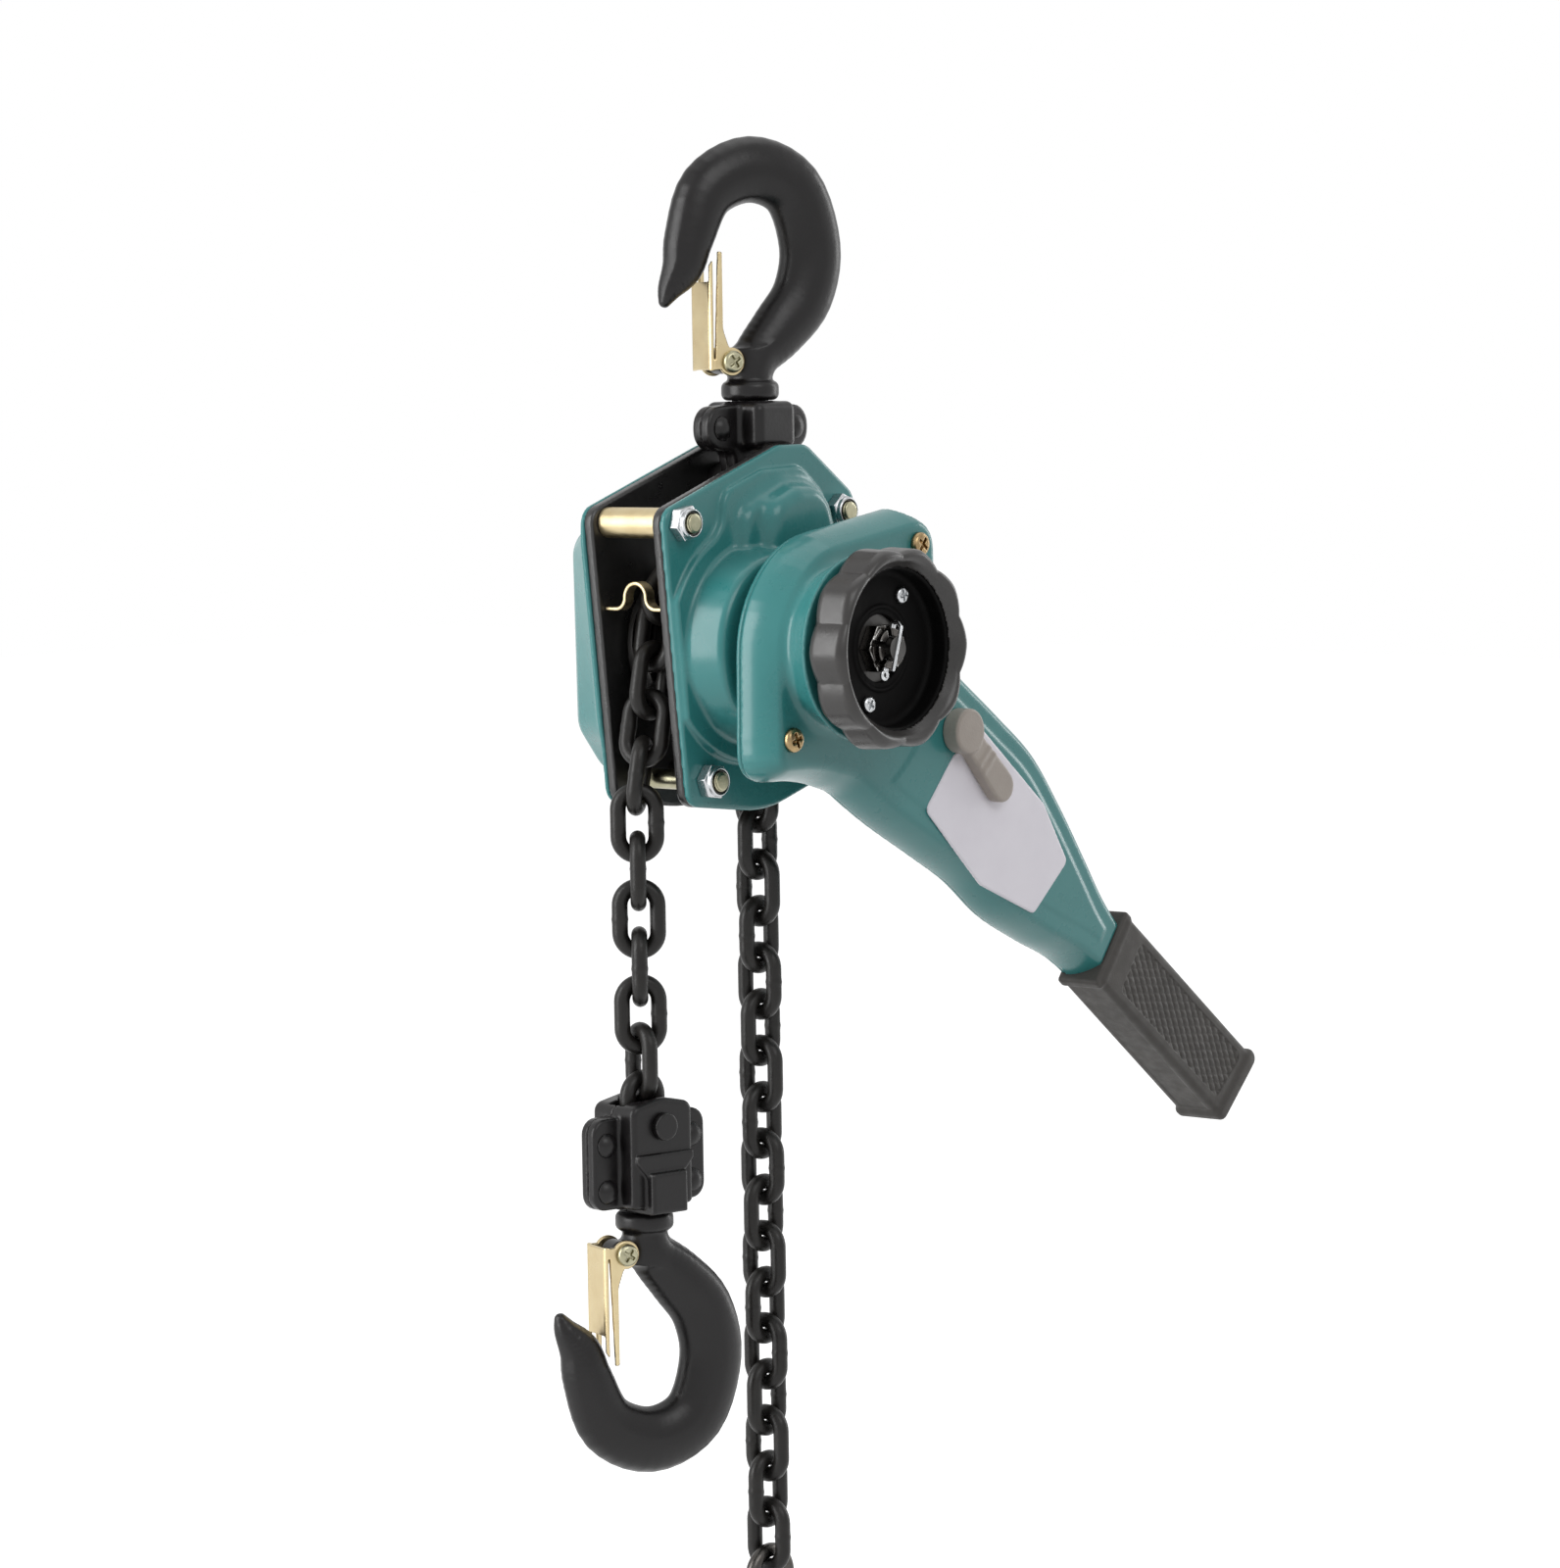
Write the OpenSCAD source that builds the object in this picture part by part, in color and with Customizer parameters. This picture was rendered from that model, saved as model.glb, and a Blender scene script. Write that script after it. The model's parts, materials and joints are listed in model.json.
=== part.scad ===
// Lever chain hoist, 0.75 tonne class, hanging from its top hook.
// Millimetres, +Z up. The origin is the top hook's saddle, on the hook's swivel axis.
// The handwheel faces -Y and the drive axis runs along Y.

/* [Load chain] */
// Diameter of the chain's wire
wire_d = 6; // [5.8:0.1:6.1]
// Inside length of one link
link_in_l = 18.4; // [18.2:0.1:18.6]
// Inside width of one link
link_in_w = 8.2; // [8:0.1:8.6]
// Play left between neighbouring links
link_play = 0.4; // [0.38:0.02:0.5]
// How far the load chain hangs left of the drive axis
load_run_x = 39.2; // [38.6:0.2:40]
// Links that hang freely in the load run
load_links = 7; // [6:1:9]
// Links that hang freely in the tail run
tail_links = 17; // [12:1:20]

/* [Hoist frame] */
// Clear gap between the two side plates
plate_gap = 30; // [29.6:0.2:32]
// Thickness of a side plate
plate_t = 4; // [3.6:0.1:4.2]
// From the lower right stay bolt to the right edge of the plates
edge_margin = 18; // [16:0.5:20]
// Height of the plates above the drive axis
plate_top = 74; // [73:0.5:78]
// Depth of the plates below the drive axis
plate_drop = 64; // [63:0.5:68]
// Diameter of the stay bolts
stay_d = 7.5; // [7:0.1:7.6]
// Width across flats of the stay nuts
nut_af = 12; // [11.5:0.1:12.4]
// Outside diameter of the spacer sleeves on the upper stays
sleeve_d = 11.5; // [10:0.1:12]

/* [Covers] */
// Wall of the pressed covers
cover_wall = 2.5; // [2:0.1:2.6]
// Radius of the brake dome where it meets its flange
dome_r = 38; // [37:0.5:39]
// Depth of the brake dome from the front plate
dome_h = 21; // [20.8:0.1:21.6]
// Depth of the gear cover behind the rear plate
gear_cover_h = 26; // [25.6:0.2:30]

/* [Gears] */
// Tooth module of the gear train
module_mm = 1; // [1:0.01:1.02]
// Face width of the load gear
load_gear_w = 6.5; // [6:0.1:6.8]
// Face width of the two large disc gears
disc_gear_w = 5; // [4.4:0.1:5.2]

/* [Brake and drive] */
// Diameter of the drive shaft
shaft_d = 11; // [10.4:0.1:11.4]
// Thickness of the ratchet disc
ratchet_t = 3.8; // [3.4:0.1:4]
// Thickness of one friction disc
friction_t = 2.5; // [2.2:0.1:2.6]

/* [Lever] */
// Distance from the drive axis to the end of the grip
lever_len = 320; // [300:2:340]
// Length of the rubber grip
grip_len = 107; // [95:1:112]
// Thickness of the lever case, back to front
case_t = 18.5; // [18:0.1:20]
// Wall of the lever case
case_wall = 2.5; // [2:0.1:2.6]
// Width of the grip
grip_w = 34; // [32:0.5:38]
// Thickness of the grip
grip_t = 23; // [22:0.5:25]

/* [Handwheel] */
// Radius of the handwheel over its lobes
wheel_r = 38; // [37:0.2:40]
// Width of the handwheel's rim
wheel_w = 17; // [16:0.2:19]
// Number of finger lobes round the rim
wheel_lobes = 10; // [8:1:12]

/* [Hooks] */
// Inside radius of the hook's bowl
bowl_r = 13; // [12.5:0.1:13.5]
// Half the thickness of the hook's bowl
hook_half_t = 9; // [8.8:0.1:9.4]
// Radius of the hook's shank
shank_r = 8; // [7.6:0.1:8.2]
// Radius of the hook's collar
collar_r = 11; // [10.6:0.1:12]
// Width of the spring latch
latch_w = 16; // [15.6:0.1:17]

/* [Hidden] */
$fn = 48;

// Finishes
teal = [0.29, 0.57, 0.56];
black = [0.09, 0.09, 0.09];
zinc = [0.75, 0.76, 0.77];
gold = [0.86, 0.78, 0.58];
steel = [0.55, 0.55, 0.56];
brass = [0.72, 0.6, 0.36];
rubber = [0.2, 0.19, 0.18];
fibre = [0.35, 0.25, 0.16];

// Small gaps
run = 0.06;      // radial running clearance of a journal
gap = 0.3;       // clear space between pieces that pass each other
touch = 0.1;     // face clearance between discs that turn on each other

// ---- chain geometry ----
wire_r = wire_d / 2;
bend_r = (link_in_w + wire_d) / 2;
link_straight = link_in_l + wire_d - 2 * bend_r;
link_out_w = link_in_w + 2 * wire_d;
pitch = link_in_l - link_play;
pockets = 5;
link_step = 180 / pockets;
sheave_links = 5;
// On the sheave the flat links' crown wires lie on a circle of radius pivot_r. A flat link
// spans flat_l from one to the next, and the upright link after it spans upright_l
flat_l = link_in_l + wire_d;
upright_l = 2 * pitch - flat_l;
pivot_r = sqrt(flat_l * flat_l + upright_l * upright_l + 2 * flat_l * upright_l * cos(link_step))
    / 2 / sin(link_step);
flat_half = asin(flat_l / 2 / pivot_r);
flat_chord = pivot_r * cos(flat_half);
upright_chord = pivot_r * cos(link_step - flat_half);
rest_phase = 7;                  // turn of the sheave at which the chain stands
right_a = rest_phase + link_step / 2 - flat_half;
left_a = 180 + rest_phase - link_step / 2 + flat_half;
right_pivot = [pivot_r * cos(right_a), pivot_r * sin(right_a)];
left_pivot = [pivot_r * cos(left_a), pivot_r * sin(left_a)];
entry_links = 3;                 // links between the sheave and the freely hanging runs
entry_l = upright_l / 2 + (entry_links - 0.5) * pitch;
lean = asin((load_run_x + left_pivot[0]) / entry_l);
swing_play = 0.2;                // slack in the link where the free run begins to hang
load_top = left_pivot[1] - entry_l * cos(lean) + swing_play;
anchor_z = load_top - load_links * pitch;
tail_top = right_pivot[1] - entry_l;
tail_end = tail_top - tail_links * pitch;
last_link = entry_links + load_links;

// ---- frame geometry ----
plate_in = plate_gap / 2;
plate_out = plate_in + plate_t;
plate_left = -46;
pin_x = right_pivot[0];          // the top hook hangs over the tail run
stay_clear = 4.83;               // between the tail chain and the lower right stay bolt
stay_br = [pin_x + link_out_w / 2 + stay_clear + stay_d / 2, -47];
plate_right = stay_br[0] + edge_margin;
pin_z = 60;
pin_r = 5;
saddle_z = 165.5;
plate_corners = [
    [plate_left, 51, 7], [plate_left + 12, -plate_drop + 5, 7], [10, -plate_drop, 60],
    [plate_right - 13, -51, 12], [plate_right, 54, 8], [pin_x + 8, plate_top, 9], [pin_x - 8, plate_top, 9]
];
stay_tl = [-36, 46.5];
stay_tr = [plate_right - 11.5, 48];
stay_bl = [-23.2, -50];
stays = [stay_tl, stay_tr, stay_bl, stay_br];
nut_h = 6.5;

// ---- sheave ----
floor_r = flat_chord - wire_r - gap;
groove_r = upright_chord - link_out_w / 2 - 0.8;
sheave_r = pivot_r - 1;
sheave_half_w = plate_in - 2;
journal_r = 11;
bush_r = 14.5;
stub_r = 9;
shaft_r = shaft_d / 2;

// ---- gear train behind the rear plate ----
teeth_pinion = 10;
teeth_wheel = 40;
pressure = 28;
gear_c = module_mm * (teeth_pinion + teeth_wheel) / 2;
load_gear_y = plate_out + 1.5;
disc_gear_y = load_gear_y + load_gear_w + 2;
cover_in_y = plate_out + gear_cover_h - cover_wall;
disc_bush_r = 6.5;
disc_journal_r = 4;
cover_flange_t = 2;
cover_screws = [[-6, 59.5], [50, 20], [46, -30]];

// ---- brake stack in front of the front plate, each y is a piece's back face ----
hub_y = -plate_out - 1.5;
hub_flange_t = 3.5;
friction_y = hub_y - hub_flange_t;
ratchet_y = friction_y - friction_t - touch;
friction_front_y = ratchet_y - ratchet_t - touch;
gear_flange_y = friction_front_y - friction_t;
gear_flange_t = 3;
dome_y = -plate_out - dome_h;
brake_r = 17.5;
sleeve_r = 10;
ratchet_teeth = 20;
ratchet_r = 21.5;
ratchet_root = 19.2;
pawl_pin_r = 2.5;
pawl_spring_r = 3.55;
pawl_spring_wire = 0.8;
pawl_pin_d = 27.4;                 // distance of the pawl pins from the drive axis
pawl_angles = [118, 298];
nose_a = 28;                     // the pawls' noses lie this far round from their pins

// ---- lever ----
lever_a = -37.5;
boss_r = 20;
case_back = dome_y - 6.5;
case_front = case_back - case_t;
case_boss_r = 36;
case_boss_y = case_front - 14.5;
gear_teeth = 12;
gear_tip = 26;
gear_root = 21;
gear_y = case_back - 4.5;
gear_w = 9;
boss_y = gear_y + 0.6;
hub_r = 12.4;
selector = [70.7, -35.7];
selector_a = atan2(selector[1], selector[0]);
selector_d = norm(selector);
pawl_bite = 0.3;                 // the change pawl's tip stands this far between the teeth
pawl_reach = selector_d - gear_tip + pawl_bite;
pawl_swing = 20;
selector_r = 4;
head_corners = [
    [-36, 14, 22], [-36, -49, 11], [8, -50, 14], [66, -12, 18], [65, 52, 13], [-12, 39, 24]
];
grip_start = lever_len - grip_len;
tongue_in = 40;                  // the lever's bar reaches this far into the grip
arm_corners = [
    [10, -40, 3], [105, -31, 30], [0.7 * grip_start, -27, 20], [0.7 * grip_start, 34, 20],
    [0.57 * grip_start, 40, 20], [10, 38, 3]
];
taper_corners = [
    [0.6 * grip_start, -28.5, 3], [grip_start + 2, -14, 3], [grip_start + 2, 15, 3],
    [0.6 * grip_start, 38.5, 3]
];
label_corners = [
    [80, -20, 3], [125, -25, 6], [160, -16, 3], [166, 12, 3], [140, 22, 6], [90, 24, 3], [82, 6, 3]
];
screw_head_r = 4.6;
screw_room = 0.8;                // between the boss and the head of the nearer screw
case_screws = [(case_boss_r + screw_head_r + screw_room) * [cos(-127.15), sin(-127.15)], [50, 36]];
edge_soft = 4;

// ---- handwheel ----
wheel_back = case_boss_y - 3;
wheel_front = wheel_back - wheel_w;
wheel_wall = 9;
wheel_screws = [[12, 19], [-8, -20.5]];
gear_hub_front = wheel_back - 2;
nut_front = gear_hub_front - 8;
split_pin_r = 0.9;
split_pin_a = 13;

// ---- top yoke ----
ear_x = 21;
ear_r = 8;
ear_z = 80.5;
yoke_t = 4.3;
yoke_top = 90.4;
yoke_bottom = 72.6;
block_x = 11.3;
block_y = 14;
collar_h = 7.4;
stem_r = 7;
keeper_r = 9.3;
keeper_h = 5;

// ---- hook ----
bowl_x = 1.5;                    // the bowl's centre lies this far from the shank axis
bowl_z = saddle_z - sqrt(bowl_r * bowl_r - bowl_x * bowl_x);
top_swivel = -20;
bottom_swivel = -20;
// Stations from the tip round the bowl to the neck: angle about the bowl's centre,
// distance of the inner face beyond the bowl's radius, half width, half thickness
hook_stations = [
    [212.5, 28.7, 3, 3.4], [208.3, 21.7, 5.2, 5.4], [199.8, 10.1, 8.3, 7.6], [179.1, 3.6, 10, 8.6],
    [135.8, 1.2, 11.6, hook_half_t], [90, 0, 12.6, hook_half_t], [45, 0, 12.6, hook_half_t],
    [-7.3, 0.2, 12.7, hook_half_t], [-44.6, 5.7, 12.5, hook_half_t], [-71.4, 12.2, 11.5, hook_half_t],
    [-87.8, 22.3, 9.3, 8.6], [-91.7, 31, shank_r - 0.3, shank_r - 0.3]
];
collar_top = 98.2;
hook_neck = bowl_z - collar_top;
shank_h = 7.4;                   // plain round shank that enters the forged stem
stem_len = collar_top - collar_h - yoke_bottom - 3;
pivot = [-12, -47];              // latch pivot, from the bowl's centre
lug_t = 9;
latch_t = 1.5;
latch_pin_r = 2.5;

// ---- lower block ----
block_w = 29;
block_top = anchor_z + 14;
block_bottom = anchor_z - 28.5;
block_half_d = 12;
block_nose = 4;                  // the lower front stands this much further out
flange_x = 27;
flange_t = 4;
rivet_x = 20.5;
lower_neck_z = block_bottom - 0.5;
block_pin_r = link_in_w / 2 - 0.2;
block_pin_z = anchor_z + block_pin_r;
rivet_z = [block_top - 16, block_bottom + 9];

// ================= helper functions =================

function unit(v) = v / norm(v);

// Arc that rounds the corner p = [x, y, r] between its neighbours a and b
function corner_arc(p, a, b, n) =
    let (q = [p[0], p[1]])
    let (u = unit([a[0], a[1]] - q))
    let (v = unit([b[0], b[1]] - q))
    let (half = acos(max(-1, min(1, u * v))) / 2)
    let (c = q + unit(u + v) * p[2] / sin(half))
    let (s = q + u * p[2] / tan(half) - c)
    let (e = q + v * p[2] / tan(half) - c)
    let (a0 = atan2(s[1], s[0]))
    let (d = atan2(e[1], e[0]) - a0)
    let (sweep = d > 180 ? d - 360 : d < -180 ? d + 360 : d)
    [for (i = [0 : n]) c + p[2] * [cos(a0 + sweep * i / n), sin(a0 + sweep * i / n)]];

// Outline of a corner list with every corner rounded
function rounded(c, n = 5) =
    [for (i = [0 : len(c) - 1])
        each corner_arc(c[i], c[(i + len(c) - 1) % len(c)], c[(i + 1) % len(c)], n)];

// The same convex corner list drawn in by d
function inset(c, d) =
    [for (i = [0 : len(c) - 1])
        let (p = c[i])
        let (a = c[(i + len(c) - 1) % len(c)])
        let (b = c[(i + 1) % len(c)])
        let (q = [p[0], p[1]])
        let (u = unit([a[0], a[1]] - q))
        let (v = unit([b[0], b[1]] - q))
        let (half = acos(u * v) / 2)
        let (m = q + unit(u + v) * d / sin(half))
        [m[0], m[1], max(p[2] - d, 0.5)]];

// Corner list given along and across the lever's axis, turned into X and Z
function on_lever(c) =
    [for (p = c)
        [p[0] * cos(lever_a) - p[1] * sin(lever_a), p[0] * sin(lever_a) + p[1] * cos(lever_a), p[2]]];

// Smooth curve through stations, with n steps between neighbours
function smooth(s, n) =
    [for (i = [0 : len(s) - 2], k = [0 : n - 1])
        blend_at(s, i, k / n),
     s[len(s) - 1]];
function blend_at(s, i, t) =
    let (a = s[max(i - 1, 0)])
    let (b = s[i])
    let (c = s[i + 1])
    let (d = s[min(i + 2, len(s) - 1)])
    0.5 * (2 * b + (c - a) * t + (2 * a - 5 * b + 4 * c - d) * t * t + (3 * b - a - 3 * c + d) * t * t * t);

// Involute tooth outline
function inv(a) = tan(a) * 180 / PI - a;
function tooth_half_angle(z, r, play) =
    let (pr = module_mm * z / 2)
    let (a = acos(min(1, pr * cos(pressure) / r)))
    90 / z + inv(pressure) - inv(a) - play / pr * 90 / PI;
function gear_outline(z, tip, root, play) =
    let (pr = module_mm * z / 2)
    let (base = max(root, pr * cos(pressure)))
    let (radii = [base, base + (pr - base) * 0.6, pr, pr + (tip - pr) / 2, tip])
    [for (k = [0 : z - 1])
        each [
            each [for (p = concat([[root, radii[0]]], [for (r = radii) [r, r]]))
                p[0] * [cos(k * 360 / z - tooth_half_angle(z, p[1], play)),
                        sin(k * 360 / z - tooth_half_angle(z, p[1], play))]],
            each [for (i = [len(radii) - 1 : -1 : 0])
                radii[i] * [cos(k * 360 / z + tooth_half_angle(z, radii[i], play)),
                            sin(k * 360 / z + tooth_half_angle(z, radii[i], play))]],
            root * [cos(k * 360 / z + tooth_half_angle(z, radii[0], play)),
                    sin(k * 360 / z + tooth_half_angle(z, radii[0], play))]
        ]];

// ================= helper modules =================

// Puts a piece drawn about the drive axis into the part's own frame
module at_drive() { translate([-pin_x, 0, -saddle_z]) children(); }

// Extrudes an X-Z outline from y0 to y1
module along_y(y0, y1) { translate([0, y1, 0]) rotate([90, 0, 0]) linear_extrude(y1 - y0) children(); }

// Round bar along Y
module rod_y(r, y0, y1) { translate([0, y1, 0]) rotate([90, 0, 0]) cylinder(r = r, h = y1 - y0); }

// Ring along Y
module ring_y(r_out, r_in, y0, y1) {
    difference() {
        rod_y(r_out, y0, y1);
        rod_y(r_in, y0 - 1, y1 + 1);
    }
}

// Slab with one soft front edge; its outline is a convex corner list
module soft_slab(c, y_front, y_back, soft) {
    hull() {
        along_y(y_front, y_back) polygon(rounded(inset(c, soft), 4));
        along_y(y_front + 0.35 * soft, y_back) polygon(rounded(inset(c, 0.3 * soft), 4));
        along_y(y_front + soft, y_back) polygon(rounded(c, 4));
    }
}

// Dome-headed rivet along Y
module rivet_y(r, head, y0, y1) {
    rod_y(r, y0, y1);
    for (side = [0, 1])
        mirror([0, side, 0])
            translate([0, side == 0 ? y0 : -y1, 0])
                intersection() {
                    translate([0, 0.55 * head, 0]) sphere(r = 1.15 * head);
                    rod_y(head, -head, 0);
                }
}

// Hexagon along Y
module hex_y(af, y0, y1) { along_y(y0, y1) circle(r = af / sqrt(3), $fn = 6); }

// Round tube swept through rings of points; each ring is [centre, side vector, up vector]
module swept(rings, sides) {
    pts = [for (g = rings, k = [0 : sides - 1])
        g[0] + g[1] * cos(k * 360 / sides) + g[2] * sin(k * 360 / sides)];
    n = len(rings);
    walls = [for (i = [0 : n - 2], k = [0 : sides - 1], h = [0, 1])
        let (a = i * sides + k)
        let (b = i * sides + (k + 1) % sides)
        h == 0 ? [a, b, b + sides] : [a, b + sides, a + sides]];
    caps = [for (k = [1 : sides - 2], h = [0, 1])
        h == 0 ? [0, k + 1, k] : [(n - 1) * sides, (n - 1) * sides + k, (n - 1) * sides + k + 1]];
    polyhedron(points = pts, faces = concat(walls, caps));
}

// Helical spring along Z
module coil(r, wire, turns, rise) {
    steps = 8 * turns;
    swept([for (i = [0 : steps])
        let (a = i * 45)
        [[r * cos(a), r * sin(a), rise * i / 8],
         wire / 2 * [cos(a), sin(a), 0],
         wire / 2 * [0, 0, 1]]], 6);
}

// ================= chain =================

// One link: long axis along Z, lying in the X-Z plane
module link() {
    for (side = [0, 1])
        mirror([0, 0, side])
            translate([0, 0, link_straight / 2])
                rotate([90, 0, 0])
                    rotate_extrude(angle = 180)
                        translate([bend_r, 0])
                            circle(r = wire_r, $fn = 24);
    for (side = [-1, 1])
        translate([side * bend_r, 0, -link_straight / 2])
            cylinder(r = wire_r, h = link_straight, $fn = 24);
}

// Turn of link k of the load run about the vertical, 0 for an untwisted chain
function link_twist(k) = k < 8 ? min(16 * (k - 1), 42) : 42 + 13.2 * (k - 7);

module load_entry_links() {
    for (k = [1 : entry_links])
        translate([left_pivot[0], 0, left_pivot[1]])
            rotate([0, lean, 0])
                translate([0, 0, -upright_l / 2 - pitch * (k - 1)])
                    rotate([0, 0, 90 * (k + 1) + link_twist(k)])
                        link();
}

module load_run_links() {
    for (k = [entry_links + 1 : entry_links + load_links])
        translate([-load_run_x, 0, load_top - pitch * (k - entry_links - 0.5)])
            rotate([0, 0, 90 * (k + 1) + link_twist(k)])
                link();
}

module tail_links_from(first, last) {
    for (k = [first : last])
        translate([right_pivot[0], 0, right_pivot[1] - upright_l / 2 - pitch * (k - 1)])
            rotate([0, 0, 90 * (k + 1)])
                link();
}

module load_chain_entry() { color(black) at_drive() load_entry_links(); }
module load_chain() { color(black) at_drive() load_run_links(); }
module tail_chain_entry() { color(black) at_drive() tail_links_from(1, entry_links); }
module tail_chain() { color(black) at_drive() tail_links_from(entry_links + 1, entry_links + tail_links); }

// Links bent over the sheave, flat ones in the pockets
module chain_on_sheave() {
    color(black)
        at_drive()
            for (k = [0 : sheave_links - 1])
                rotate([0, -(rest_phase + link_step * (k + 0.5)), 0])
                    translate([k % 2 == 0 ? flat_chord : upright_chord, 0, 0])
                        rotate([0, 0, 90 * (k + 1)])
                            link();
}

// Ring that keeps the tail from running through
module chain_end_stop() {
    ring_r = 10.5;
    ring_wire = 2.8;
    color(steel)
        at_drive()
            translate([right_pivot[0], 0, tail_end + ring_wire + 0.1 - ring_r])
                rotate([0, 0, 90 * (entry_links + tail_links)])
                    rotate([90, 0, 0])
                        rotate_extrude()
                            translate([ring_r, 0])
                                circle(r = ring_wire, $fn = 24);
}

// ================= hooks =================

hook_curve = smooth([for (s = hook_stations)
    [bowl_x + (bowl_r + s[1] + s[2]) * cos(s[0]), (bowl_r + s[1] + s[2]) * sin(s[0]), s[2], s[3]]], 3);

// Forged hook in the X-Z plane, bowl centre at Z = 0, shank downwards
module forging(neck) {
    tip = hook_curve[0];
    tip_dir = unit([for (k = [0, 1]) tip[k] - hook_curve[1][k]]);
    point = [for (a = [75, 50, 25])
        [tip[0] + tip[2] * sin(a) * tip_dir[0], tip[1] + tip[2] * sin(a) * tip_dir[1],
         tip[2] * cos(a), tip[3] * cos(a)]];
    curve = concat(point, hook_curve);
    swept([for (i = [0 : len(curve) - 1])
        let (p = curve[i])
        let (last = len(curve) - 1)
        let (t = unit([for (k = [0, 1]) curve[min(i + 1, last)][k] - curve[max(i - 1, 0)][k]]))
        [[p[0], 0, p[1]], p[2] * [t[1], 0, -t[0]], [0, -p[3], 0]]], 16);
    translate([0, 0, -neck]) cylinder(r = shank_r, h = shank_h);
    translate([pivot[0], 0, pivot[1]]) rod_y(4.6, -lug_t / 2, lug_t / 2);
    translate([pivot[0], -lug_t / 2, pivot[1] - 4]) cube([8, lug_t, 8]);
}

// Hook with collar and stem: neck is the distance from bowl centre to collar top
module hook_body(neck, stem) {
    difference() {
        union() {
            forging(neck);
            translate([0, 0, -neck - collar_h]) cylinder(r = collar_r, h = collar_h);
            translate([0, 0, -neck - collar_h - stem]) cylinder(r = stem_r, h = stem + 1);
        }
        translate([pivot[0], 0, pivot[1]]) rod_y(latch_pin_r, -lug_t, lug_t);
    }
}

module keeper(z) {
    difference() {
        translate([0, 0, z]) cylinder(r = keeper_r, h = keeper_h);
        translate([0, 0, z - 1]) cylinder(r = stem_r, h = keeper_h + 2);
        translate([-keeper_r - 1, -gap / 2, z - 1]) cube([2 * keeper_r + 2, gap, keeper_h + 2]);
    }
}

// Spring latch: a folded channel, its pivot eyes at the bottom
module latch_sheet() {
    web_x = -21;
    top_z = -5.5;
    low_z = pivot[1] - 3;
    fold = 5.5;
    web_top = -16.8;                                // the web ends below the hook's beak
    beak_cut = [[-17.2, top_z], [web_x, -10.9]];    // and the folds pass beside it
    difference() {
        along_y(-latch_w / 2, latch_w / 2)
            polygon(concat([[web_x, low_z], [web_x + fold, low_z], [web_x + fold, top_z]], beak_cut));
        translate([web_x + latch_t, -latch_w / 2 + latch_t, low_z - 1])
            cube([fold, latch_w - 2 * latch_t, top_z - low_z + 2]);
        translate([web_x - 1, -latch_w / 2 + latch_t, web_top])
            cube([latch_t + 2, latch_w - 2 * latch_t, top_z - web_top + 1]);
    }
    for (side = [0, 1])
        mirror([0, side, 0])
            difference() {
                union() {
                    translate([pivot[0], 0, pivot[1]]) rod_y(5.4, -latch_w / 2, -latch_w / 2 + latch_t);
                    translate([web_x + 1, -latch_w / 2, low_z]) cube([-web_x + pivot[0], latch_t, 10]);
                }
                translate([pivot[0], 0, pivot[1]]) rod_y(latch_pin_r + run, -latch_w, latch_w);
            }
}

// Pan-head pin with a driver cross, riveted at the back
module latch_pin() {
    head_r = 4.2;
    translate([pivot[0], 0, pivot[1]])
        difference() {
            union() {
                rod_y(latch_pin_r, -latch_w / 2 - 0.1, latch_w / 2 + 0.1);
                rod_y(head_r, -latch_w / 2 - 2.6, -latch_w / 2 - 0.1);
                rod_y(3.4, latch_w / 2 + 0.1, latch_w / 2 + 1.6);
            }
            for (turn = [35, 125])
                rotate([0, turn, 0])
                    translate([-0.5, -latch_w / 2 - 4, -2.4])
                        cube([1, 2.6, 4.8]);
        }
}

// Torsion spring round the pivot pin beside the lug
module latch_spring() {
    translate([pivot[0], lug_t / 2 + 0.6, pivot[1]])
        rotate([-90, 0, 0])
            coil(3.3, 0.8, 1, 0.9);
}

// Places hook pieces at the top of the hoist, or upside down at the load end
module top_place() { translate([0, 0, bowl_z - saddle_z]) rotate([0, 0, top_swivel]) children(); }
module bottom_place() {
    at_drive()
        translate([-load_run_x, 0, lower_neck_z - collar_h - hook_neck])
            rotate([0, 0, bottom_swivel])
                mirror([0, 0, 1])
                    children();
}

module top_hook() { color(black) top_place() hook_body(hook_neck, stem_len); }
module top_hook_collar() {
    color(steel)
        at_drive()
            translate([pin_x, 0, 0])
                keeper(yoke_top - 5.6 - keeper_h - gap);
}
module top_latch() { color(gold) top_place() latch_sheet(); }
module top_latch_pin() { color(gold) top_place() latch_pin(); }
module top_latch_spring() { color(steel) top_place() latch_spring(); }

// ================= top yoke =================

yoke_outline = [
    [-ear_x - ear_r, ear_z + ear_r, ear_r - 0.3], [-ear_x - ear_r, ear_z - ear_r, ear_r - 0.3],
    [-15, yoke_bottom - 1, 3], [-pin_r - 6, pin_z - 6, 6], [0, pin_z - 11, 8], [pin_r + 6, pin_z - 6, 6],
    [15, yoke_bottom - 1, 3], [ear_x + ear_r, ear_z - ear_r, ear_r - 0.3],
    [ear_x + ear_r, ear_z + ear_r, ear_r - 0.3], [14, yoke_top - 1, 2], [-14, yoke_top - 1, 2]
];

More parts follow.
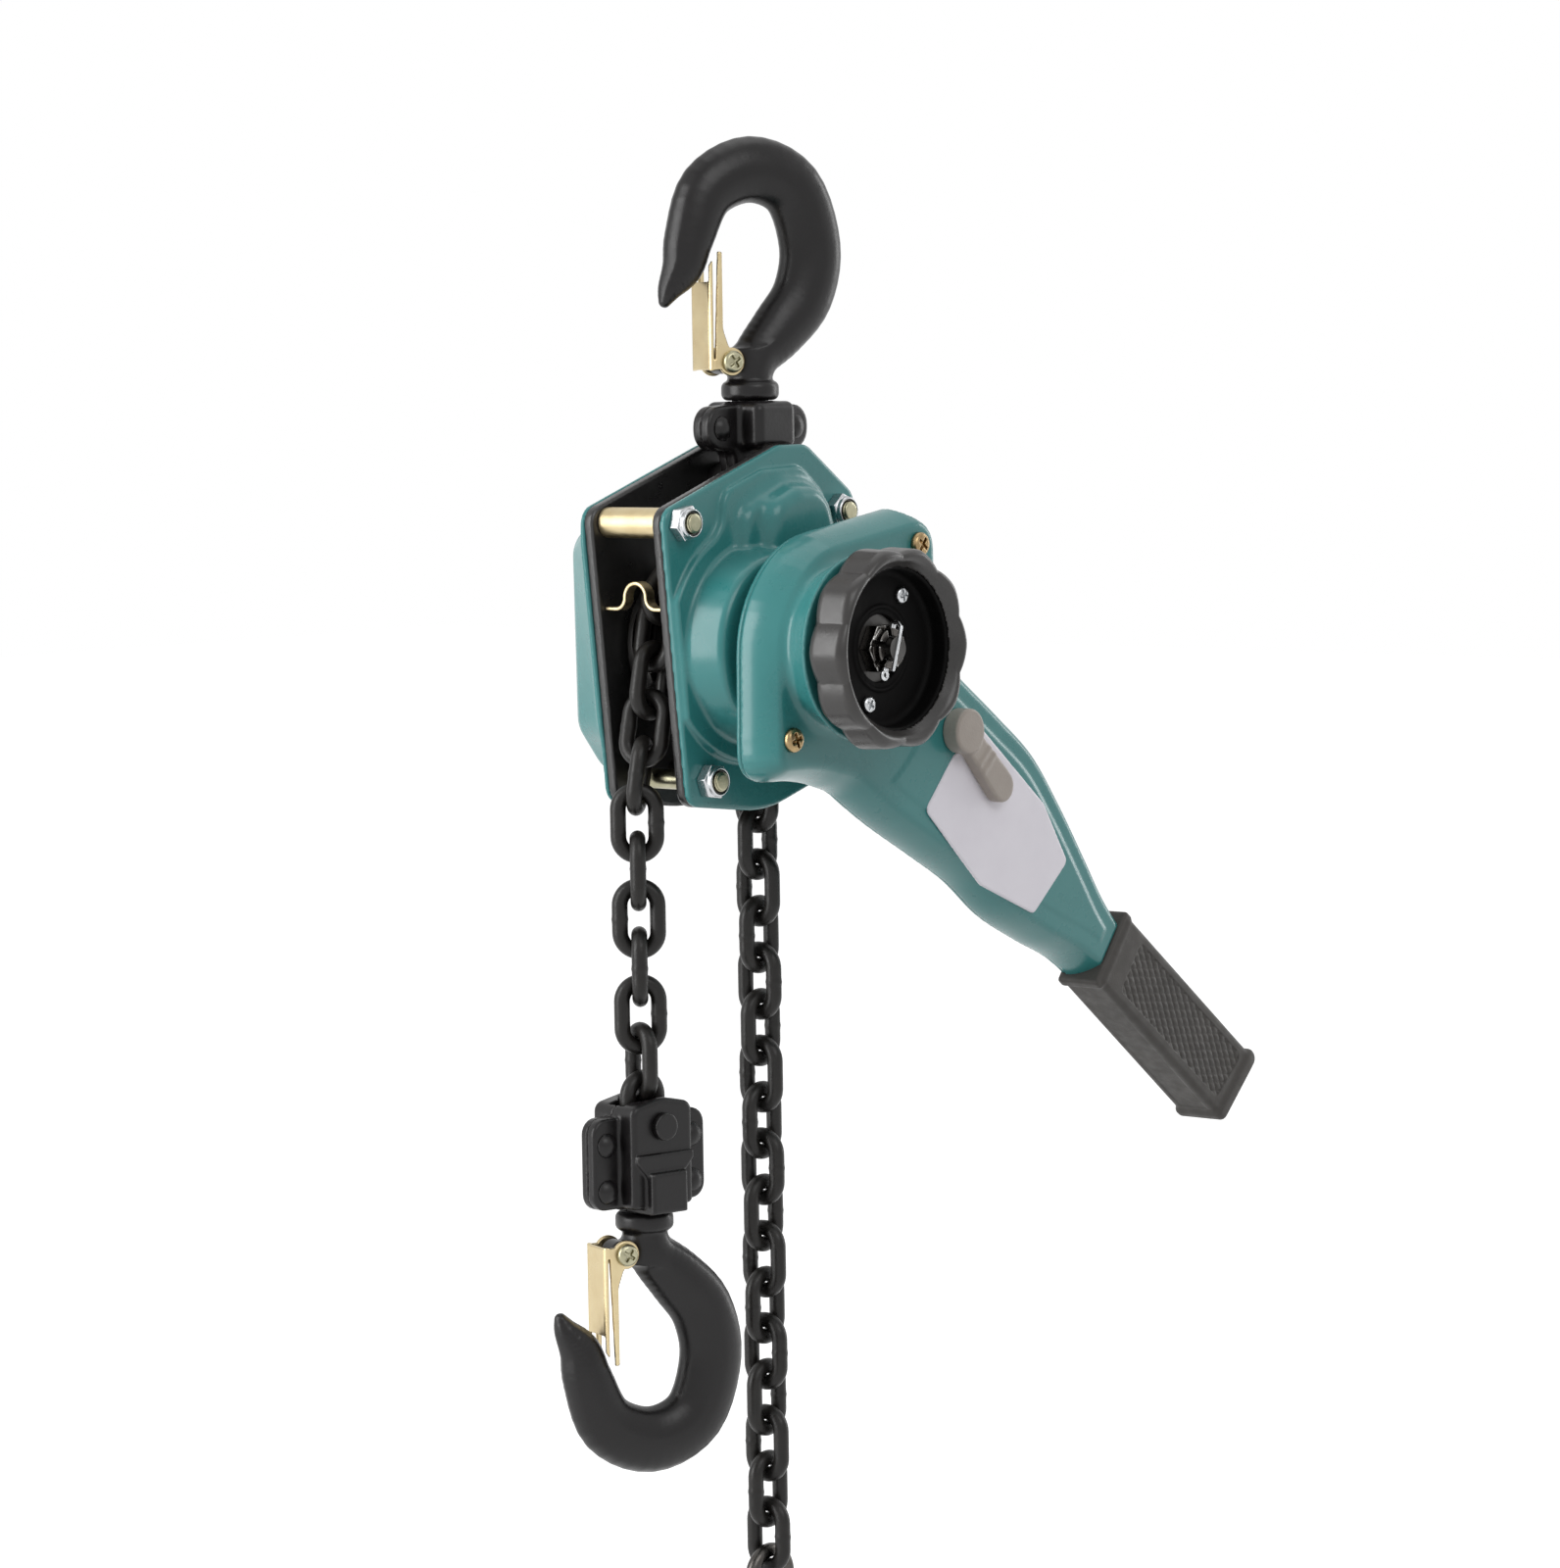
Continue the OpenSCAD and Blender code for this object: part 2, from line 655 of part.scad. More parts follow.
module yoke_half() {
    top_wall = 5.6;
    difference() {
        union() {
            along_y(-yoke_t, -touch) polygon(rounded(yoke_outline, 5));
            translate([-block_x, -block_y, yoke_bottom])
                cube([2 * block_x, block_y - touch, yoke_top - yoke_bottom]);
        }
        translate([0, 0, yoke_bottom]) cylinder(r = shank_r + gap, h = 40);
        translate([0, 0, yoke_bottom + 2])
            cylinder(r = keeper_r + gap, h = yoke_top - yoke_bottom - 2 - top_wall);
        translate([0, 0, pin_z]) rod_y(pin_r + run, -20, 20);
        for (side = [-1, 1]) translate([side * ear_x, 0, ear_z]) rod_y(3, -20, 20);
    }
}

module top_yoke_front() { color(black) at_drive() translate([pin_x, 0, 0]) yoke_half(); }
module top_yoke_rear() { color(black) at_drive() translate([pin_x, 0, 0]) mirror([0, 1, 0]) yoke_half(); }
module top_yoke_rivets() {
    color(black)
        at_drive()
            for (side = [-1, 1])
                translate([pin_x + side * ear_x, 0, ear_z])
                    rivet_y(3, 5, -yoke_t, yoke_t);
}

module suspension_pin() {
    color(steel)
        at_drive()
            translate([pin_x, 0, pin_z])
                rod_y(pin_r, -plate_out, plate_out);
}

module suspension_spacers() {
    color(steel)
        at_drive()
            translate([pin_x, 0, pin_z])
                for (side = [0, 1])
                    mirror([0, side, 0])
                        ring_y(pin_r + 2.5, pin_r, -plate_in, -yoke_t - gap);
}

// ================= hoist frame =================

module plate_blank(y0, y1) {
    difference() {
        along_y(y0, y1) polygon(rounded(plate_corners, 6));
        for (s = stays) translate([s[0], 0, s[1]]) rod_y(stay_d / 2, y0 - 1, y1 + 1);
        translate([pin_x, 0, pin_z]) rod_y(pin_r, y0 - 1, y1 + 1);
        rod_y(bush_r, y0 - 1, y1 + 1);
    }
}

module side_plate_front() {
    color(black)
        at_drive()
            difference() {
                plate_blank(-plate_out, -plate_in);
                for (a = pawl_angles)
                    translate([pawl_pin_d * cos(a), 0, pawl_pin_d * sin(a)])
                        rod_y(pawl_pin_r, -plate_out - 1, 0);
            }
}

module side_plate_rear() {
    color(black)
        at_drive()
            difference() {
                plate_blank(plate_in, plate_out);
                for (side = [-1, 1])
                    translate([0, 0, side * gear_c]) rod_y(disc_bush_r, plate_in - 1, plate_out + 1);
                for (p = cover_screws) translate([p[0], 0, p[1]]) rod_y(2, plate_in - 1, plate_out + 1);
            }
}

module stay_bolts() {
    color(brass)
        at_drive()
            for (s = stays)
                translate([s[0], 0, s[1]])
                    rod_y(stay_d / 2, -plate_out - cover_wall - nut_h - 1.2, plate_out - gap);
}

// Nylon-insert nut on the front end of each stay bolt; the rear ends are fixed in the rear plate
module stay_nuts() {
    foot = -plate_out - cover_wall;
    hex_part = 0.62 * nut_h;
    color(zinc)
        at_drive()
            for (s = stays)
                translate([s[0], 0, s[1]])
                    difference() {
                        union() {
                            hex_y(nut_af, foot - hex_part, foot);
                            rod_y(0.46 * nut_af, foot - nut_h, foot - hex_part);
                        }
                        rod_y(stay_d / 2, foot - 20, foot + 20);
                    }
}

module stay_sleeves() {
    color(gold)
        at_drive()
            for (s = [stay_tl, stay_tr])
                translate([s[0], 0, s[1]])
                    ring_y(sleeve_d / 2, stay_d / 2, -plate_in, plate_in);
}

// Bent strip across the plates that steers the load chain
module chain_guide() {
    guide_x = -38.5;
    guide_z = 18.8;
    depth = 5;
    strip = 1.4;
    color(gold)
        at_drive()
            translate([guide_x, 0, guide_z])
                rotate([90, 0, 90])
                    linear_extrude(depth)
                        guide_profile(strip);
}

// Arch over the chain, its sides flared out to two feet between the plates
module guide_profile(strip) {
    arch = 5.2;
    flare = 4.4;
    foot = arch + flare;
    half = strip / 2;
    intersection() {
        guide_band(arch, half);
        translate([-arch - half, 0]) square([2 * arch + strip, arch + strip]);
    }
    for (side = [0, 1])
        mirror([side, 0]) {
            intersection() {
                translate([foot, 0]) guide_band(flare, half);
                translate([arch - half, -flare - half]) square([flare + half, flare + half]);
            }
            translate([foot, -flare - half]) square([plate_in - foot, strip]);
        }
}

module guide_band(r, half) {
    difference() {
        circle(r = r + half);
        circle(r = r - half);
    }
}

// Tongue below the sheave that lifts links out of the pockets
module chain_stripper() {
    color(steel)
        at_drive()
            difference() {
                along_y(-3, 3)
                    polygon([[-7, -plate_drop + 12], [17, -plate_drop + 12], [8, -33], [4, -groove_r - 2],
                             [-4, -groove_r - 2], [-7, -33]]);
                rod_y(groove_r + 1.2, -5, 5);
            }
    color(steel)
        at_drive()
            for (x = [-2, 10])
                translate([x, 0, -plate_drop + 16])
                    rod_y(2.5, -plate_in, plate_in);
}

// Bushes of the sheave, of the disc gears and of the shaft's rear end
module bearing_bushes() {
    color(brass)
        at_drive() {
            for (side = [0, 1])
                mirror([0, side, 0])
                    ring_y(bush_r, journal_r + run, -plate_out, -plate_in);
            for (side = [-1, 1])
                translate([0, 0, side * gear_c]) {
                    ring_y(disc_bush_r, disc_journal_r + run, plate_in, plate_out);
                    ring_y(disc_bush_r, disc_journal_r + run, cover_in_y - 4, cover_in_y);
                }
            ring_y(disc_bush_r, disc_journal_r + run, cover_in_y - 4, cover_in_y);
        }
}

// ================= covers =================

module brake_cover() {
    right = stay_tr[0] - 8;
    terrace = [[-16, 34, 6], [-14, 57.5, 6], [8, 65, 10],
               [pin_x + 2, 66, 9], [right, 54, 8], [right, 34, 8]];
    step = [[-8, 28, 6], [-3, 51, 6], [12, 60, 8],
            [pin_x + 3, 62, 8], [right - 1, 50, 8], [right - 1, 28, 8]];
    nose = [[-1, 26, 6], [1, 53, 6], [18, 57, 8],
            [pin_x + 4, 55, 6], [pin_x + 9, 46, 6], [pin_x + 10, 26, 6]];
    flange_y = -plate_out - cover_wall;
    terrace_y = flange_y - 2.5;
    step_y = flange_y - 7.5;
    nose_y = flange_y - 13;
    color(teal)
        at_drive()
            difference() {
                union() {
                    along_y(flange_y, -plate_out) polygon(rounded(plate_corners, 6));
                    intersection() {
                        rod_y(dome_r + 6.5, terrace_y, flange_y + 0.5);
                        along_y(terrace_y - 1, flange_y + 1) polygon(rounded(inset(plate_corners, 0.6), 6));
                    }
                    soft_slab(terrace, terrace_y, -plate_out - 1, 1.5);
                    soft_slab(step, step_y, -plate_out - 1, 3);
                    soft_slab(nose, nose_y, -plate_out - 1, 4);
                    translate([0, -plate_out, 0])
                        rotate([90, 0, 0])
                            cylinder(r1 = dome_r, r2 = dome_r - 4, h = dome_h);
                    rod_y(boss_r, boss_y, dome_y + 1);
                }
                soft_slab(inset(step, cover_wall), step_y + cover_wall, -plate_out + 1, 2.5);
                soft_slab(inset(nose, cover_wall), nose_y + cover_wall, -plate_out + 1, 3);
                translate([0, -plate_out + 1, 0])
                    rotate([90, 0, 0])
                        cylinder(r1 = dome_r - cover_wall, r2 = dome_r - 4 - cover_wall,
                                 h = dome_h - cover_wall + 1);
                rod_y(13, boss_y - 1, dome_y + 5);
                for (s = stays) translate([s[0], 0, s[1]]) rod_y(stay_d / 2, flange_y - 1, -plate_out + 1);
            }
}

// Corners of the gear cover's pan: at its flange, and near its flat back
pan_base = [[-43, 45, 9], [-34.5, -33, 16], [-13, -53, 14], [13, -51, 14],
            [42, -20, 12], [42, 24, 12], [13, 52, 14], [-13, 54, 20]];
pan_top = [[-27, 38, 10], [-26, -32, 12], [-12, -49.5, 12], [12, -49.5, 12],
           [25, -36, 10], [25, 36, 10], [12, 49.5, 12], [-12, 49.5, 12]];

// Solid pan drawn in by wall on its sides
module pan(wall, y0, y1) {
    soft = 3;
    hull() {
        along_y(y0, y0 + 2) polygon(rounded(inset(pan_base, wall), 4));
        along_y(y0, y1 - soft) polygon(rounded(inset(pan_top, wall), 4));
        along_y(y0, y1) polygon(rounded(inset(pan_top, wall + soft), 4));
    }
}

module gear_cover() {
    y1 = plate_out + gear_cover_h;
    color(teal)
        at_drive()
            difference() {
                union() {
                    pan(0, plate_out, y1);
                    along_y(plate_out, plate_out + cover_flange_t) polygon(rounded(plate_corners, 6));
                }
                difference() {
                    pan(cover_wall, plate_out - 2, y1 - cover_wall);
                    for (side = [-1, 0, 1])
                        translate([0, 0, side * gear_c])
                            rod_y(disc_bush_r + 2.5, cover_in_y - 4, y1);
                }
                for (side = [-1, 0, 1])
                    translate([0, 0, side * gear_c])
                        rod_y(disc_bush_r, cover_in_y - 4, cover_in_y);
                for (p = cover_screws)
                    translate([p[0], 0, p[1]])
                        rod_y(2, plate_out - 1, plate_out + cover_flange_t + 1);
            }
}

module gear_cover_screws() {
    color(zinc)
        at_drive()
            for (p = cover_screws)
                translate([p[0], 0, p[1]]) {
                    rod_y(2, plate_in + 0.5, plate_out + cover_flange_t);
                    rod_y(3.6, plate_out + cover_flange_t, plate_out + cover_flange_t + 2.4);
                }
}

// ================= sheave and gears =================

module load_sheave() {
    color(steel)
        at_drive()
            difference() {
                union() {
                    rod_y(sheave_r, -sheave_half_w, sheave_half_w);
                    rod_y(journal_r, -plate_out, plate_out);
                    rod_y(stub_r, -plate_out, load_gear_y + load_gear_w);
                }
                rod_y(shaft_r + run, -plate_out - 1, load_gear_y + load_gear_w + 1);
                difference() {
                    rod_y(sheave_r + 5, -wire_r - 0.8, wire_r + 0.8);
                    rod_y(groove_r, -20, 20);
                }
                for (k = [0 : pockets - 1])
                    rotate([0, -(rest_phase + link_step / 2 + 2 * link_step * k), 0])
                        pocket_cut();
            }
}

// Seat of one flat link
module pocket_cut() {
    r = link_out_w / 2 + 0.6;
    for (side = [-1, 1])
        translate([floor_r, 0, side * link_straight / 2])
            rotate([0, 90, 0])
                cylinder(r = r, h = 20);
    translate([floor_r, -r, -link_straight / 2]) cube([20, 2 * r, link_straight]);
}

module load_gear() {
    tip = module_mm * (teeth_wheel / 2 + 1);
    color(steel)
        at_drive()
            difference() {
                along_y(load_gear_y, load_gear_y + load_gear_w)
                    polygon(gear_outline(teeth_wheel, tip, module_mm * (teeth_wheel / 2 - 1.25), 0.12));
                rod_y(stub_r, load_gear_y - 1, load_gear_y + load_gear_w + 1);
            }
}

// Long shaft with the first pinion at its rear end and the thread seats in front
module pinion_shaft() {
    tip = module_mm * (teeth_pinion / 2 + 0.9);
    color(steel)
        at_drive() {
            rod_y(shaft_r, gear_hub_front, disc_gear_y - 1);
            rod_y(module_mm * 3.7, disc_gear_y - 2, cover_in_y - 4);
            along_y(disc_gear_y - 1, disc_gear_y + disc_gear_w + 1)
                polygon(gear_outline(teeth_pinion, tip, module_mm * (teeth_pinion / 2 - 1.25), 0.06));
            rod_y(disc_journal_r, disc_gear_y + disc_gear_w + 1, cover_in_y - 0.5);
            difference() {
                rod_y(shaft_r - 1, nut_front - 2.5, gear_hub_front + 1);
                split_pin_place() cylinder(r = split_pin_r, h = 30, center = true);
            }
        }
}

// Disc gear: large wheel, small pinion and two journals on one axle. Wheels have a tooth at
// +Z and -Z and pinions a gap there, so every pair is in mesh as drawn
module disc_gear(side) {
    wheel_tip = module_mm * (teeth_wheel / 2 + 1);
    wheel_root = module_mm * (teeth_wheel / 2 - 1.25);
    small_tip = module_mm * (teeth_pinion / 2 + 0.9);
    small_root = module_mm * (teeth_pinion / 2 - 1.25);
    color(steel)
        at_drive()
            translate([0, 0, side * gear_c]) {
                difference() {
                    along_y(disc_gear_y, disc_gear_y + disc_gear_w)
                        polygon(gear_outline(teeth_wheel, wheel_tip, wheel_root, 0.12));
                    for (k = [0 : 5])
                        rotate([0, 60 * k + 30, 0])
                            translate([12, 0, 0])
                                rod_y(3, disc_gear_y - 1, disc_gear_y + disc_gear_w + 1);
                }
                along_y(load_gear_y - 0.5, disc_gear_y)
                    polygon(gear_outline(teeth_pinion, small_tip, small_root, 0.06));
                rod_y(disc_journal_r - 0.4, load_gear_y - 1, disc_gear_y);
                rod_y(disc_journal_r, plate_in + 0.5, load_gear_y - 0.5);
                rod_y(disc_journal_r, disc_gear_y + disc_gear_w, cover_in_y - 0.5);
            }
}

module disc_gear_a() { disc_gear(1); }
module disc_gear_b() { disc_gear(-1); }

// ================= brake =================

module brake_hub() {
    color(steel)
        at_drive()
            difference() {
                union() {
                    rod_y(brake_r + 1, hub_y - hub_flange_t, hub_y);
                    rod_y(sleeve_r, gear_flange_y + 0.4, hub_y);
                }
                rod_y(shaft_r, -90, 0);
            }
}

module friction_discs() {
    color(fibre)
        at_drive()
            for (y = [friction_y, friction_front_y])
                ring_y(brake_r, sleeve_r, y - friction_t, y);
}

// Ratchet disc: each tooth has a straight face and a back of steady rise
module ratchet_disc() {
    tooth = 360 / ratchet_teeth;
    steps = 4;
    color(steel)
        at_drive()
            difference() {
                along_y(ratchet_y - ratchet_t, ratchet_y)
                    polygon([for (k = [0 : ratchet_teeth - 1], i = [0 : steps])
                        let (r = ratchet_root + (ratchet_r - ratchet_root) * i / steps)
                        let (a = pawl_angles[0] - nose_a + tooth * (k + 0.96 * i / steps) - 0.5)
                        r * [cos(a), sin(a)]]);
                rod_y(sleeve_r + touch, ratchet_y - 10, ratchet_y + 10);
            }
}

// Brake pawl, drawn with its pin at the origin and the ratchet's centre at -X
module brake_pawl() {
    difference() {
        union() {
            rod_y(4.1, ratchet_y - ratchet_t, ratchet_y);
            along_y(ratchet_y - ratchet_t, ratchet_y)
                polygon(concat(
                    [for (p = [[2.9, 13], [1.6, 6], [0.15, 0], [3.2, 0]])
                        (ratchet_root + p[0]) * [cos(p[1] - nose_a), sin(p[1] - nose_a)] - [pawl_pin_d, 0]],
                    [[-2.5, -10.5], [2, -7], [4, -1.5], [0, 3], [-3.6, 0]]));
        }
        rod_y(pawl_pin_r + run, -90, 0);
    }
}

module pawl_at(a) {
    color(steel)
        at_drive()
            rotate([0, -a, 0])
                translate([pawl_pin_d, 0, 0])
                    brake_pawl();
}

module pawl_a() { pawl_at(pawl_angles[0]); }
module pawl_b() { pawl_at(pawl_angles[1]); }

module pawl_pins() {
    color(steel)
        at_drive()
            for (a = pawl_angles)
                rotate([0, -a, 0])
                    translate([pawl_pin_d, 0, 0]) {
                        rod_y(pawl_pin_r, ratchet_y - ratchet_t - 1, -plate_in);
                        rod_y(pawl_spring_r * cos(22.5) - pawl_spring_wire / 2 - touch,
                              ratchet_y + 0.4, -plate_out);
                    }
}

// Torsion springs that press the pawls onto the ratchet disc
module pawl_springs() {
    color(steel)
        at_drive()
            for (a = pawl_angles)
                rotate([0, -a, 0])
                    translate([pawl_pin_d, -plate_out - 1, 0])
                        rotate([90, 0, 0])
                            coil(pawl_spring_r, pawl_spring_wire, 3, 1.5);
}

// ================= drive gear, nut and handwheel =================

module drive_gear() {
    half = 90 / gear_teeth;
    color(steel)
        at_drive()
            difference() {
                union() {
                    rod_y(brake_r, gear_flange_y - gear_flange_t, gear_flange_y);
                    rod_y(hub_r, gear_hub_front, gear_flange_y);
                    along_y(gear_y - gear_w, gear_y)
                        rotate(selector_a + 180 / gear_teeth)
                            polygon([for (k = [0 : gear_teeth - 1], s = [-1.12, -0.62, 0.62, 1.12])
                                let (a = k * 360 / gear_teeth + s * half)
                                (abs(s) > 1 ? gear_root : gear_tip) * [cos(a), sin(a)]]);
                }
                rod_y(shaft_r, -200, 0);
            }
}

// Slotted nut that holds the drive gear and the handwheel on the shaft
module castle_nut() {
    color(zinc)
        at_drive()
            difference() {
                union() {
                    hex_y(17, gear_hub_front - 5, gear_hub_front);
                    rod_y(7.6, nut_front, gear_hub_front - 5);
                }
                rod_y(shaft_r - 1, -200, 0);
                for (k = [0 : 2])
                    rotate([0, 60 * k + split_pin_a, 0])
                        translate([-12, nut_front - 1, -1])
                            cube([24, 4.2, 2]);
            }
}

// The split pin's own axis along Z, in a slot of the nut
module split_pin_place() {
    translate([0, nut_front + 1.8, 0])
        rotate([0, 60 + split_pin_a, 0])
            rotate([0, 90, 0])
                children();
}

// Split pin through the nut's slots, its legs bent out
module split_pin() {
    eye_r = 1.5;
    reach = 9.6;
    color(zinc)
        at_drive()
            split_pin_place() {
                translate([0, 0, -reach + 0.7]) cylinder(r = split_pin_r, h = 2 * reach - 0.7, $fn = 16);
                translate([0, 0, -reach - 0.6])
                    rotate([90, 0, 0])
                        rotate_extrude()
                            translate([eye_r, 0])
                                circle(r = split_pin_r - 0.1, $fn = 16);
                translate([0, 0, reach]) rotate([90, 0, 0]) cylinder(r = split_pin_r, h = 4, $fn = 16);
            }
}

// Rim outline: lobes between shallow finger hollows
function lobe_r(a) = wheel_r - 1.3 + 1.3 * cos(wheel_lobes * a);

module handwheel() {
    floor_t = 4;
    cup_r = wheel_r - wheel_wall;
    step = 3;
    color(black)
        at_drive()
            difference() {
                union() {
                    along_y(wheel_front + 3, wheel_back - 2)
                        polygon([for (a = [0 : step : 359]) lobe_r(a) * [cos(a), sin(a)]]);
                    along_y(wheel_front + 1, wheel_back)
                        polygon([for (a = [0 : step : 359]) (lobe_r(a) - 1.4) * [cos(a), sin(a)]]);
                    along_y(wheel_front, wheel_back)
                        polygon([for (a = [0 : step : 359]) (lobe_r(a) - 3.2) * [cos(a), sin(a)]]);
                }
                rod_y(cup_r, wheel_front - 1, wheel_back - floor_t);
                translate([0, wheel_front, 0]) rotate([90, 0, 0]) translate([0, 0, -2])
                    cylinder(r1 = cup_r, r2 = cup_r + 2.5, h = 2.5);
                rod_y(hub_r + touch, wheel_back - 10, wheel_back + 1);
                for (p = wheel_screws)
                    translate([p[0], 0, p[1]]) rod_y(1.8, wheel_back - 10, wheel_back + 1);
            }
}

module handwheel_screws() {
    color(zinc)
        at_drive()
            for (p = wheel_screws)
                translate([p[0], 0, p[1]]) {
                    rod_y(1.8, wheel_back - 4, wheel_back);
                    rod_y(3.2, wheel_back - 6.2, wheel_back - 4);
                }
}

// ================= lever =================

arm_xz = on_lever(arm_corners);
taper_xz = on_lever(taper_corners);

module case_solid(wall, y_front, y_back) {
    soft_slab(inset(head_corners, wall), y_front, y_back, edge_soft);
    soft_slab(inset(arm_xz, wall), y_front, y_back, edge_soft);
    soft_slab(inset(taper_xz, wall), y_front, y_back, edge_soft);
}

module lever_case_front() {
    split = case_back - case_wall;
    color(teal)
        at_drive() {
            difference() {
                union() {
                    case_solid(0, case_front, split);
                    rod_y(case_boss_r, case_boss_y, case_front + 3);
                }
                case_solid(case_wall, case_front + case_wall, split + 1);
                rod_y(case_boss_r - case_wall, case_boss_y + case_wall, case_front + 5);
                rod_y(hub_r + gap, case_boss_y - 1, case_front);
                for (p = case_screws) translate([p[0], 0, p[1]]) rod_y(2.2, -200, 0);
                translate([selector[0], 0, selector[1]]) rod_y(selector_r + run, -200, 0);
            }
            case_posts(case_front + 1, split);
            tongue(case_front + 3, split);
        }
}

// Screw posts inside the front shell
module case_posts(y0, y1) {
    for (p = case_screws)
        translate([p[0], 0, p[1]])
            ring_y(5, 2.2, y0, y1);
}

// Bar that carries the grip
module tongue(y0, y1) {
    along_y(y0, y1) polygon(rounded(on_lever([
        [grip_start - 20, -10, 2], [grip_start + tongue_in, -9, 4],
        [grip_start + tongue_in, 9, 4], [grip_start - 20, 10, 2]]), 4));
}

module lever_case_rear() {
    color(teal)
        at_drive()
            difference() {
                union() {
                    for (c = [head_corners, arm_xz, taper_xz])
                        along_y(case_back - case_wall, case_back) polygon(rounded(inset(c, 0.6), 4));
                }
                rod_y(boss_r + run, -200, 0);
                for (p = case_screws) translate([p[0], 0, p[1]]) rod_y(2.2, -200, 0);
                translate([selector[0], 0, selector[1]]) rod_y(selector_r + run, -200, 0);
            }
}

module lever_screws() {
    color(zinc)
        at_drive()
            for (p = case_screws)
                translate([p[0], 0, p[1]]) {
                    rod_y(2.2, case_front, case_back + 0.5);
                    difference() {
                        rod_y(screw_head_r, case_front - 2.4, case_front);
                        for (turn = [20, 110])
                            rotate([0, turn, 0])
                                translate([-0.6, case_front - 3, -2.8])
                                    cube([1.2, 2, 5.6]);
                    }
                }
}

module lever_grip() {
    mid = (case_back + case_front) / 2;
    half = grip_w / 2;
    body = [[grip_start, -half + 2, 3], [lever_len - 5, -half, 6],
            [lever_len, half - 2, 8], [grip_start, half - 1, 3]];
    rim = [[grip_start - 3, -half, 3], [grip_start + 5, -half, 3],
           [grip_start + 5, half + 1, 3], [grip_start - 3, half + 1, 3]];
    foot = [[lever_len - 12, -half - 1, 3], [lever_len - 3, -half - 1, 4],
            [lever_len + 1, half, 5], [lever_len - 8, half + 1, 3]];
    color(rubber)
        at_drive()
            difference() {
                union() {
                    along_y(mid - grip_t / 2 + 1.2, mid + grip_t / 2 - 1.2)
                        polygon(rounded(on_lever(body), 5));
                    along_y(mid - grip_t / 2 + 3, mid + grip_t / 2 - 3) polygon(rounded(on_lever(rim), 5));
                    along_y(mid - grip_t / 2, mid + grip_t / 2) polygon(rounded(on_lever(foot), 5));
                }
                tongue(case_front + 3, case_back - case_wall);
                case_solid(0, case_front, case_back);
            }
}

module label_plate() {
    color([0.92, 0.9, 0.93])
        at_drive()
            difference() {
                along_y(case_front - 0.5, case_front) polygon(rounded(on_lever(label_corners), 4));
                translate([selector[0], 0, selector[1]]) rod_y(14, -200, 0);
            }
}

// Selector knob: round head on the change shaft with a long pointer
module selector_knob() {
    knob_y = case_front - 1;
    knob_t = 5.5;
    pointer_l = 37;
    color([0.56, 0.53, 0.5])
        at_drive()
            translate([selector[0], 0, selector[1]]) {
                rod_y(selector_r, knob_y, case_back - 0.3);
                rod_y(8.8, knob_y - knob_t, knob_y);
                rotate([0, 45.8, 0])
                    along_y(knob_y - knob_t + 1, knob_y)
                        polygon(rounded([[0, -5, 1], [0.8 * pointer_l, -6, 4], [pointer_l, -2, 2],
                                         [pointer_l, 2, 2], [0.8 * pointer_l, 6, 4], [0, 5, 1]], 4));
            }
}

// Two-armed change pawl: one arm or the other drops into the drive gear
module change_pawl() {
    tip_w = 3;
    eye_r = 8;
    color(steel)
        at_drive()
            translate([selector[0], 0, selector[1]])
                rotate([0, -selector_a - 180, 0])
                    difference() {
                        union() {
                            rod_y(eye_r, gear_y - gear_w + 1, gear_y - 1);
                            for (side = [-1, 1])
                                rotate([0, side * pawl_swing, 0])
                                    along_y(gear_y - gear_w + 1, gear_y - 1)
                                        polygon([[0, -6], [pawl_reach - 8, -4], [pawl_reach, -tip_w / 2],
                                                 [pawl_reach, tip_w / 2], [pawl_reach - 8, 4], [0, 6]]);
                        }
                        rod_y(selector_r, -200, 0);
                    }
}

// ================= lower block and bottom hook =================

module block_place() {
    at_drive()
        translate([-load_run_x, 0, 0])
            rotate([0, 0, (90 * (last_link + 1) + link_twist(last_link)) % 180 - 180])
                children();
}

module block_half() {
    shelf = block_top - 21;
    ears = [[-flange_x, block_top - 6, 6], [-flange_x, block_bottom + 2, 6],
            [flange_x, block_bottom + 2, 6], [flange_x, block_top - 6, 6]];
    difference() {
        union() {
            along_y(-flange_t, -touch) polygon(rounded(ears, 5));
            along_y(-block_half_d, -touch)
                polygon(rounded([[-block_w / 2, block_top - 2, 4], [-block_w / 2, block_bottom + 2, 2],
                                 [block_w / 2, block_bottom + 2, 2], [block_w / 2, block_top - 2, 4],
                                 [0, block_top + 1, 14]], 5));
            along_y(-block_half_d - block_nose, -touch)
                polygon([[-8.5, block_bottom], [8.5, block_bottom], [8.5, shelf - 6], [-8.5, shelf - 6]]);
            along_y(-block_half_d - 1.6, -touch)
                polygon([[-block_w / 2 + 1, shelf - 2], [-8, shelf - 8], [8, shelf - 8],
                         [block_w / 2 - 1, shelf - 2], [block_w / 2 - 1, shelf + 1],
                         [-block_w / 2 + 1, shelf + 1]]);
        }
        chain_slot();
        translate([0, 0, block_bottom - 5]) cylinder(r = shank_r + gap, h = 12);
        translate([0, 0, block_bottom + 4.5]) cylinder(r = keeper_r + gap, h = keeper_h + 3);
        translate([0, 0, block_pin_z]) rod_y(block_pin_r, -30, 30);
        for (x = [-rivet_x, rivet_x], z = rivet_z) translate([x, 0, z]) rod_y(2.8, -20, 20);
    }
}

